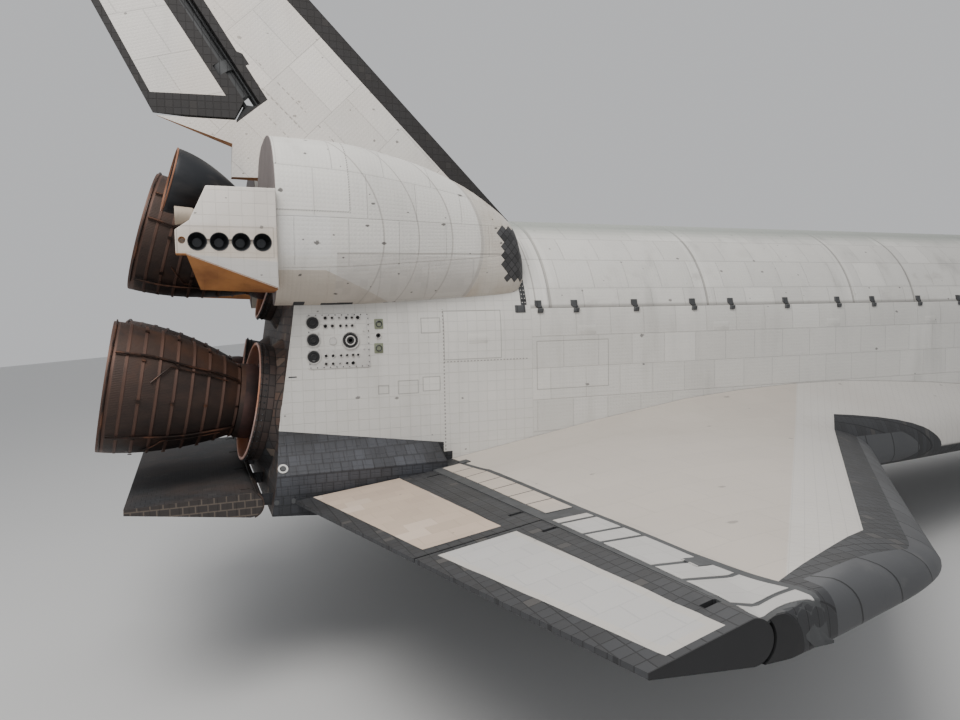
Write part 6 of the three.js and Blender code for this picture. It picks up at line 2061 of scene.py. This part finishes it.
# Small ports by height, each a station and a radius
SMALL_PORTS = {
    3770: ((31425, 26), (31300, 20), (31170, 10), (31035, 22), (30930, 20), (30820, 30)),
    3620: ((31430, 30), (31300, 24), (31150, 22), (31040, 20), (30930, 22)),
    3068: ((31435, 24), (31306, 24), (31156, 20), (31044, 20), (30931, 22), (30836, 20)),
    2918: ((31439, 22), (31310, 22), (31180, 10), (31048, 22), (30935, 30)),
}
PLAIN_PORTS = ((31300, 3345, 70), (30720, 3520, 16), (30720, 3180, 16), (31560, 3500, 14), (31560, 3200, 14))


def umbilical_panel(side):
    """The service panel: its plate, rims, dark wells, studs, square plates and their rims."""
    base = side_plate(side, 30600, 31760, 2830, 3850, 14, 40, 40)
    rims, darks = [], []
    for z in PORT_COLUMN[1]:
        rims.append(port_ring(side, PORT_COLUMN[0], z, 132, 26, 20, 12))
        darks += [port_ring(side, PORT_COLUMN[0], z, *size)
                  for size in ((108, 22, 14, 28), (52, 30, 10, 16))]
    for kind, *size in ((rims, 168, 30, 22, 16), (darks, 138, 26, 16, 30), (rims, 92, 40, 20, 18),
                        (darks, 66, 34, 14, 30)):
        kind.append(port_ring(side, *BIG_PORT, *size))
    for z, row in SMALL_PORTS.items():
        for s, r in row:
            rims.append(port_ring(side, s, z, r + 12, 20, 8, 6))
            darks.append(port_ring(side, s, z, r, 20, 8, 10))
    rims += [port_ring(side, s, z, r, 17, 4, 8) for s, z, r in PLAIN_PORTS]
    edge = [(s, z) for s in spread(30640, 31720, 120) for z in (2856, 3824)]
    edge += [(s, z) for z in spread(2930, 3750, 118) for s in (30626, 31736)]
    studs = [side_stud(side, s, z, 30, [(0, 0), (0, 10), (50, 10), (54, 6), (54, 0)]) for s, z in edge]
    squares = [side_plate(side, s - 85, s + 85, z - 95, z + 95, 12, 40, 14) for s, z in SQUARES]
    square_rims = [port_ring(side, s, z, 62, 24, 16, 14) for s, z in SQUARES]
    rims.append(port_ring(side, 30440, 3420, 58, 20, 12, 12))
    darks.append(port_ring(side, 30440, 3420, 44, 16, 8, 20))
    return base, gather(rims), gather(darks), gather(studs), gather(squares), gather(square_rims)


HINGES = (27019, 26175, 24691, 23156, 22092, 20464, 18816, 17643, 16015, 14513, 13010, 11780, 10420, 9300)


def hinge_cover(side, s):
    """A small fairing over a door hinge, slanted like the real ones, in two parts that pass each other."""
    def loop(lift, trim):
        pts = [(s - 96 + trim, SILL - 6 - trim), (s + 26 - trim, SILL - 6 - trim),
               (s + 44 - trim, SILL - 96 + trim), (s - 78 + trim, SILL - 96 + trim)]
        return [at(a, side * (BODY_HALF * 0.985 + 18 + lift), z) for a, z in pts]

    return bevel(loft([loop(-60, 0), loop(16, 0), loop(26, 14)]), 4, 2)


def hinge_cap(side, s):
    """The cover's upper part, which rides on the door."""
    def loop(lift, trim):
        pts = [(s - 66 + trim, SILL + 164 - trim), (s + 84 - trim, SILL + 164 - trim),
               (s + 92 - trim, SILL + 60 + trim), (s + 40 - trim, SILL + 10 + trim),
               (s - 76 + trim, SILL + 10 + trim), (s - 60 + trim, SILL + 70 + trim)]
        return [at(a, side * (side_y(z) + lift), z) for a, z in pts]

    return loft([loop(-40, 0), loop(18, 0), loop(28, 8)])


def bay_frames():
    """Ring frames, longerons and keel of the open bay."""
    made = []
    for s in spread(BAY_FRONT + 500, BAY_BACK - 500, 1475):
        made.append(loft([bay_arc(q, BAY_RADIUS + 8, 36) + bay_arc(q, BAY_RADIUS - 62, 36)[::-1]
                          for q in (s - 45, s + 45)]))
    for y in (-1400, 0, 1400):
        z = SPRING - math.sqrt(BAY_RADIUS ** 2 - y * y)
        made.append(box(BAY_FRONT + 60, BAY_BACK - 60, y - 50, y + 50, z - 20, z + 78))
    return gather(made)


def bay_rails(side):
    """The sill longeron's rail and its payload latch fittings."""
    made = [box(BAY_FRONT + 60, BAY_BACK - 60, *sorted((side * 2300, side * 2352)), SILL - 190, SILL - 40)]
    for s in spread(BAY_FRONT + 1100, BAY_BACK - 1100, 1840):
        made.append(bevel(box(s - 130, s + 130, *sorted((side * 2210, side * 2306)), SILL - 230, SILL - 20),
                          12, 2))
        made.append(bar(at(s, side * 2236, SILL - 120), at(s, side * 2180, SILL - 120), 58, 50, 24))
    return gather(made)


def bay_cables():
    """Service lines that run along both sides of the bay."""
    made = []
    reach = BAY_RADIUS - 84
    for side in (1, -1):
        for k, (turn, r) in enumerate(((200, 20), (205, 14), (209, 22), (222, 16))):
            a = math.radians(turn)
            y, z = -side * reach * math.cos(a), SPRING + reach * math.sin(a)
            made.append(tube([at(s, y + 6 * math.sin(s / 700 + k), z + 6 * math.cos(s / 500 + k))
                              for s in spread(9000, 27000, 750)], r, 8))
    return gather(made)


def window_frames():
    made = []
    for pane in PANES:
        for side in (1, -1):
            rim = cut(body(3700, 6700, 12), body(3700, 6700, -30))
            rim = common(pane_block(pane, side, 46, -450, 450, 110), rim)
            made.append(cut(rim, pane_block(pane, side)))
    return gather(made)


def glazing():
    skin = CABIN_WALL + SEAM
    region = box(CABIN_FRONT + 60, 6300, -2400, 2400, 4180, 6500)
    return common(cut(cabin_body(-skin), cabin_body(-skin - 35)), region)


def deck_floor():
    floor = common(cabin_body(-CABIN_WALL - SEAM), box(4700, CABIN_BACK - 10, -WIDE, WIDE, 3790, 3860))
    shelf = bevel(plate([(4480, 3800), (4720, 3800), (4900, 4450), (4560, 4350)], -900, 900), 16, 2)
    console = bevel(box(4700, 5500, -230, 230, 3850, 4150), 20, 3)
    overhead = bevel(box(5100, 5550, -350, 350, 5230, 5330), 14, 2)
    post = box(5510, 5600, -40, 40, 3850, 5240)
    return join(floor, shelf, console, overhead, post)


def deck_screens():
    """Screens, switch rows and throttles on the consoles."""
    made = []
    axes = (Vector((-0.965, 0, 0.263)).normalized(), Vector((0, 1, 0)),
            Vector((0.263, 0, 0.965)).normalized())
    for y in (-700, -430, -160, 160, 430, 700):
        made.append(turned_box(at(4812, y, 4130), axes, ((-14, 14), (-95, 95), (-90, 90))))
    for s in spread(4780, 5440, 66):
        for y in (-150, -75, 75, 150):
            made.append(box(s - 12, s + 12, y - 12, y + 12, 4140, 4172))
    for s in spread(5150, 5500, 50):
        for y in spread(-280, 280, 70):
            made.append(box(s - 9, s + 9, y - 9, y + 9, 5216, 5236))
    for y in (-60, 60):
        made.append(bar(at(5100, y, 4140), at(5070, y, 4300), 16, 22, 16))
    return gather(made)


def seat(side):
    y = side * 640
    cushion = bevel(box(5160, 5640, y - 232, y + 232, 4215, 4310), 36, 4)
    back = bevel(plate([(5600, 4240), (5700, 4240), (5850, 5070), (5760, 5090)], y - 222, y + 222), 34, 4)
    head = bevel(box(5750, 5860, y - 140, y + 140, 4960, 5160), 34, 4)
    pan = bevel(box(5150, 5660, y - 240, y + 240, 4185, 4225), 10, 2)
    stem = bevel(box(5350, 5500, y - 120, y + 120, 3850, 4200), 14, 2)
    arms = [bevel(box(5230, 5600, y + w * 262 - 26, y + w * 262 + 26, 4400, 4440), 12, 2) for w in (-1, 1)]
    posts = [box(5540, 5580, y + w * 262 - 16, y + w * 262 + 16, 4200, 4402) for w in (-1, 1)]
    return gather([cushion, back, head]), gather([pan, stem] + arms + posts)


def vents(side):
    """Closed vent doors along the side, all but flush with it."""
    places = ((9600, 3420), (12600, 3420), (15600, 3420), (19000, 3420), (22400, 3420), (25900, 3420),
              (28400, 3300))
    return gather([side_plate(side, s - 210, s + 210, z - 95, z + 95, 3, 30, 14) for s, z in places])


def side_marks(side):
    """The strip behind the bay door with its foot, a slot, and ports by the flap."""
    black = [side_plate(side, 27290, 27420, z, z + 122, 8, 30, 6, 2) for z in range(3960, 4900, 120)]
    black.append(side_plate(side, 27330, 27560, 3805, 3956, 12, 30, 10))
    black.append(side_plate(side, 31975, 32130, 2688, 2716, 1.2, 30, 12))
    out, spot = Vector((0, side * 0.769, 0.639)), at(32335, side * 3155, 1118)
    black.append(turned([(-20, 0), (-20, 62), (14, 62), (18, 56), (18, 0)], spot, out, 32))
    pale = [ring(spot, out, -20, 26, 58, 88, 40)]
    black += [bar(at(s, side * 3200, 556), at(s, side * 3250, 556), 48, 44, 24) for s in (32180, 32470)]
    pale += [side_stud(side, s, z, 12, [(0, 0), (0, 11), (24, 11), (26, 8), (26, 0)])
             for z in spread(4010, 4850, 84) for s in (27325, 27385)]
    return gather(black), gather(pale)


ROW_OUTER = (8040, 8280, 8880, 9290, 10290, 10790, 11470, 11750)


def wing_row(side):
    """Pale panels in a row before the elevons, and the dark bars between them."""
    def front(y):
        return 29030 - 160 * max(0, (y - 7900) / 3700) + 60 * max(0, (4800 - y) / 1500)

    def patch(a, b, shift, back, *sizes):
        return wing_patch([(front(a) - shift, a), (front(b) - shift, b), (back, b), (back, a)], *sizes)

    pale = []
    for edges, gap, back in (((3340, 4590, 5840, 7720), 0, 29430), (ROW_OUTER, 36, 29520)):
        pale += [patch(a + gap, b - gap, 0, back, 10, 20, 8) for a, b in zip(edges, edges[1:])]
    spans = spread(3270, 11840, 400)
    dark = [patch(a, b, 90, 29600, 4, 26, 8) for a, b in zip(spans, spans[1:])]
    for s, y in ((28960, 3290), (29010, 10330)):
        dark.append(wing_patch([(s - 70, y - 130), (s - 70, y + 130), (s + 110, y + 130),
                                (s + 110, y - 130)],
                               18, 20, 3))
    return gather([handed(o, side) for o in pale]), gather([handed(o, side) for o in dark])


# Assembly

set_camera()
set_light()
set_floor()

skin = skin_paint()
door_skin = door_paint()
liner = liner_paint()
cabin = cabin_paint()
wing_skin = wing_paint()
flipper = flipper_paint()
dark_bar = dark_bar_paint()
carbon = carbon_paint()
elevon_skins = {row[0]: elevon_paint(row[0] == "inner") for row in ELEVONS}
fin_skin = fin_paint()
rudder_skin = rudder_paint()
pod_skin = pod_paint()
housing_skin = housing_paint()
base_skin = base_paint()
flap_skin = flap_paint()
bell_skin = bell_paint()
pipe_skin = pipe_paint()
ring_skin = ring_paint()
band_skin = band_paint()
pod_bell_skin = pod_bell_paint()
steel = metal_paint("bare_steel", (0.42, 0.43, 0.44), 0.32)
dark_steel = metal_paint("dark_steel", (0.075, 0.078, 0.082), 0.4)
soot = enamel_paint("sooted_metal", (0.018, 0.018, 0.019), 0.55)
gear_enamel = enamel_paint("gear_enamel", (0.55, 0.56, 0.57))
white_enamel = enamel_paint("panel_enamel", (0.60, 0.585, 0.56), 0.5)
green_primer = enamel_paint("green_primer", (0.20, 0.22, 0.15), 0.6)
enamel_beige = enamel_paint("beige_enamel", (0.36, 0.30, 0.235), 0.6)
rubber = rubber_paint()
silver = radiator_paint()
glass = glass_paint()
gear_tiles = black_gear_paint()
module_skin = module_paint()
fabric = enamel_paint("seat_fabric", (0.07, 0.09, 0.12), 0.9)
screens = enamel_paint("screen_glass", (0.02, 0.03, 0.035), 0.15)

piece(body(0, 640), "nose_cap_shell", "airframe", nose_cap_paint(), ["nose_cap"])
piece(forward_fuselage(), "forward_fuselage_shell", "airframe", skin, ["forward_fuselage"])
piece(thruster_module(), "forward_thruster_module_shell", "airframe", module_skin,
      ["forward_thruster_module"])
throats = [jet_liner(*jet, *((120, 420) if k < 3 else (100, 480))) for k, jet in enumerate(NOSE_JETS)]
piece(common(gather(throats), body(640, BAY_FRONT, -6)), "nose_jet_throats", "airframe", soot)
piece(glazing(), "cabin_panes", "airframe", glass, ["cabin_glazing"])
piece(window_frames(), "window_frames", "airframe", dark_bar)
piece(deck_floor(), "flight_deck_floor", "airframe", cabin, ["flight_deck"])
piece(deck_screens(), "flight_deck_controls", "airframe", screens)
for name, side in SIDES:
    pads, shell = seat(side)
    piece(pads, "seat_pads_" + name, "airframe", fabric)
    piece(shell, "seat_frame_" + name, "airframe", gear_enamel)
piece(mid_fuselage(), "mid_fuselage_shell", "airframe", skin, ["mid_fuselage"])
piece(bay_frames(), "bay_frames", "airframe", liner)
piece(bay_cables(), "bay_service_lines", "airframe", dark_steel)
piece(aft_fuselage(), "aft_fuselage_shell", "airframe", skin, ["aft_fuselage"])
base = piece(heat_shield(), "base_heat_shield_shell", "airframe", (base_skin, skin),
             ["base_heat_shield"])
# The plate's rim is part of the fuselage's side, in metres of the airframe's frame
RIM_SIDE, RIM_FLOOR, RIM_ARCH, RIM_SLOPE = 2.55, 0.33, 2.57, 0.35
for face in base.data.polygons:
    spot, out = face.center, face.normal
    on_rim = (abs(spot.y) > RIM_SIDE or spot.z < RIM_FLOOR
              or math.hypot(spot.y, spot.z - SPRING * MM) > RIM_ARCH)
    if on_rim and abs(out.x) < RIM_SLOPE:
        face.material_index = 1
piece(flap_seal(), "flap_cove_seal", "airframe", base_skin)
piece(fin(), "fin_shell", "airframe", fin_skin, ["fin"])
piece(side_hatch(), "side_hatch_shell", "side_hatch", skin, ["side_hatch"])

SERVICE = (("plate", "blanket", white_enamel), ("rims", "blanket", white_enamel), ("wells", "steel", soot),
           ("studs", "steel", dark_steel), ("squares", "blanket", green_primer),
           ("square_rims", "steel", dark_steel))
# Turned profiles of the side thrusters' cups and of the nozzle behind them
CUP = [(-330, 0), (-330, 96), (-26, 143), (-10, 152), (6, 150), (4, 138), (-30, 130), (-236, 74), (-236, 0)]
STUB = [(-360, 0), (-360, 110), (60, 112), (70, 128), (330, 150), (345, 150), (345, 136), (330, 132),
        (110, 84), (110, 0)]
RIBS = (18500, 19837, 21500, 23520, 25300, 26900)

for name, side in SIDES:
    door = "bay_door_" + name
    piece(bay_rails(side), "bay_rail_" + name, "airframe", steel)
    piece(gather([hinge_cover(side, s) for s in HINGES]), "hinge_covers_" + name, "airframe",
          dark_bar)
    piece(gather([hinge_cap(side, s) for s in HINGES]), "hinge_caps_" + name, door, dark_bar)
    piece(vents(side), "vent_doors_" + name, "airframe", skin)
    fittings, dots = side_marks(side)
    piece(fittings, "side_fittings_" + name, "airframe", dark_bar)
    piece(dots, "side_fitting_rims_" + name, "airframe", white_enamel)
    for (label, slot, paint), made in zip(SERVICE, umbilical_panel(side)):
        piece(made, "service_" + label + "_" + name, "airframe", paint)
    piece(bay_door(side), "bay_door_shell_" + name, door, door_skin, [door])
    piece(door_frames(side, RIBS), "bay_door_ribs_" + name, door, liner)
    piece(radiator(side), "radiator_panel_" + name, "radiator_" + name, silver,
          ["radiator_" + name])
    piece(wing_panel(side), "wing_shell_" + name, "airframe", wing_skin, ["wing_" + name])
    piece(wing_edge(side), "carbon_edge_" + name, "airframe", carbon, ["leading_edge_" + name])
    pale, dark = wing_row(side)
    piece(pale, "wing_row_panels_" + name, "airframe", flipper)
    piece(dark, "wing_row_bars_" + name, "airframe", flipper)
    for label, low, high, lugs in ELEVONS:
        key = "elevon_" + label + "_" + name
        piece(handed(elevon(low, high, lugs), side), key + "_shell", key, elevon_skins[label],
              [key])
    piece(pod(side), "pod_shell_" + name, "airframe", pod_skin, ["pod_" + name])
    piece(handed(thruster_housing(), side), "thruster_housing_shell_" + name, "airframe",
          housing_skin, ["thruster_housing_" + name])
    cups = [turned(CUP, at(s, side * HOUSING["outer"], 5055), Vector((0, side, 0)), 56) for s in JETS]
    piece(gather(cups), "thruster_cups_" + name, "airframe", dark_steel)
    piece(turned(STUB, at(33575, side * 3425, 5480), Vector((-1, 0, 0)), 48), "aft_thruster_" + name,
          "airframe", enamel_beige)

piece(body_flap(), "body_flap_shell", "body_flap", flap_skin, ["body_flap"])
piece(rudder_cove(), "rudder_cove_lining", "airframe", dark_bar)
piece(rudder_barrel(), "rudder_barrel_shell", "rudder", dark_bar, ["rudder_barrel"])
for name, side in SIDES:
    piece(rudder_panel(side), "speed_brake_shell_" + name, "speed_brake_" + name, rudder_skin,
          ["speed_brake_" + name])

for name, station, side, height, pitch, yaw, shield, _ in ENGINES:
    pivot, axis = at(station, side, height), aim(pitch, yaw)
    there, rider = engine_place(pivot, axis), name + "_yaw"
    piece(engine_bell(shield), name + "_bell", rider, bell_skin, [name], there)
    piece(bell_pipes(-1 if side < 0 else 1), name + "_pipes", rider, pipe_skin, (), there)
    piece(gather(head_ears(pivot, axis, BEARING, 260)), name + "_clevis", rider, dark_steel)
    band, bright, lip, rim = collar(shield)
    piece(band, name + "_mouth_band", "airframe", band_skin, (), there)
    piece(bright, name + "_mouth_lip", "airframe", ring_skin, (), there)
    piece(collar_bolts(lip, rim), name + "_mouth_bolts", "airframe", dark_steel, (), there)
    repaint(name + "_gimbal", steel)
for name, side in SIDES:
    pivot = at(POD_ENGINE["station"], side * POD_ENGINE["side"], POD_ENGINE["height"])
    axis = aim(POD_ENGINE["pitch"], side * POD_ENGINE["yaw"])
    key = "pod_engine_" + name
    piece(pod_bell(), key + "_bell", key + "_yaw", pod_bell_skin, [key],
          engine_place(pivot, axis))
    piece(gather(head_ears(pivot, axis, POD_BEARING, 130)), key + "_clevis", key + "_yaw",
          dark_steel)
    repaint(key + "_gimbal", steel)

# Landing gear

piece(nose_leg(), "nose_leg_strut", "airframe", gear_enamel, ["nose_leg"])
piece(nose_fork(), "nose_fork_strut", "nose_steering", gear_enamel, ["nose_fork"])
piece(hub(NOSE_WHEEL, 0), "nose_hubs", "nose_wheels", steel, ["nose_hub"])
piece(hub_bolts(NOSE_WHEEL, 0), "nose_hub_bolts", "nose_wheels", dark_steel)
for name, side in SIDES:
    piece(tyre(NOSE_WHEEL, side * NOSE_WHEEL["offset"]), "nose_tyre_tread_" + name, "nose_wheels",
          rubber, ["nose_tyre_" + name])
    piece(nose_door(side), "nose_door_panel_" + name, "airframe", gear_tiles,
          ["nose_gear_door_" + name])
    piece(main_door(side), "main_door_panel_" + name, "airframe", gear_tiles,
          ["main_gear_door_" + name])
    y, wheels = side * MAIN_WHEEL["side"], "main_wheels_" + name
    piece(main_leg(side), "main_leg_strut_" + name, "airframe", gear_enamel,
          ["main_leg_" + name])
    piece(leg_hoses(y), "main_leg_hoses_" + name, "airframe", rubber)
    piece(hub(MAIN_WHEEL, y), "main_hubs_" + name, wheels, steel, ["main_hub_" + name])
    piece(hub_bolts(MAIN_WHEEL, y), "main_hub_bolts_" + name, wheels, dark_steel)
    for label, way in (("inner", -1), ("outer", 1)):
        piece(tyre(MAIN_WHEEL, y + way * side * MAIN_WHEEL["offset"]),
              "main_tyre_tread_" + label + "_" + name, wheels, rubber,
              ["main_tyre_" + label + "_" + name])
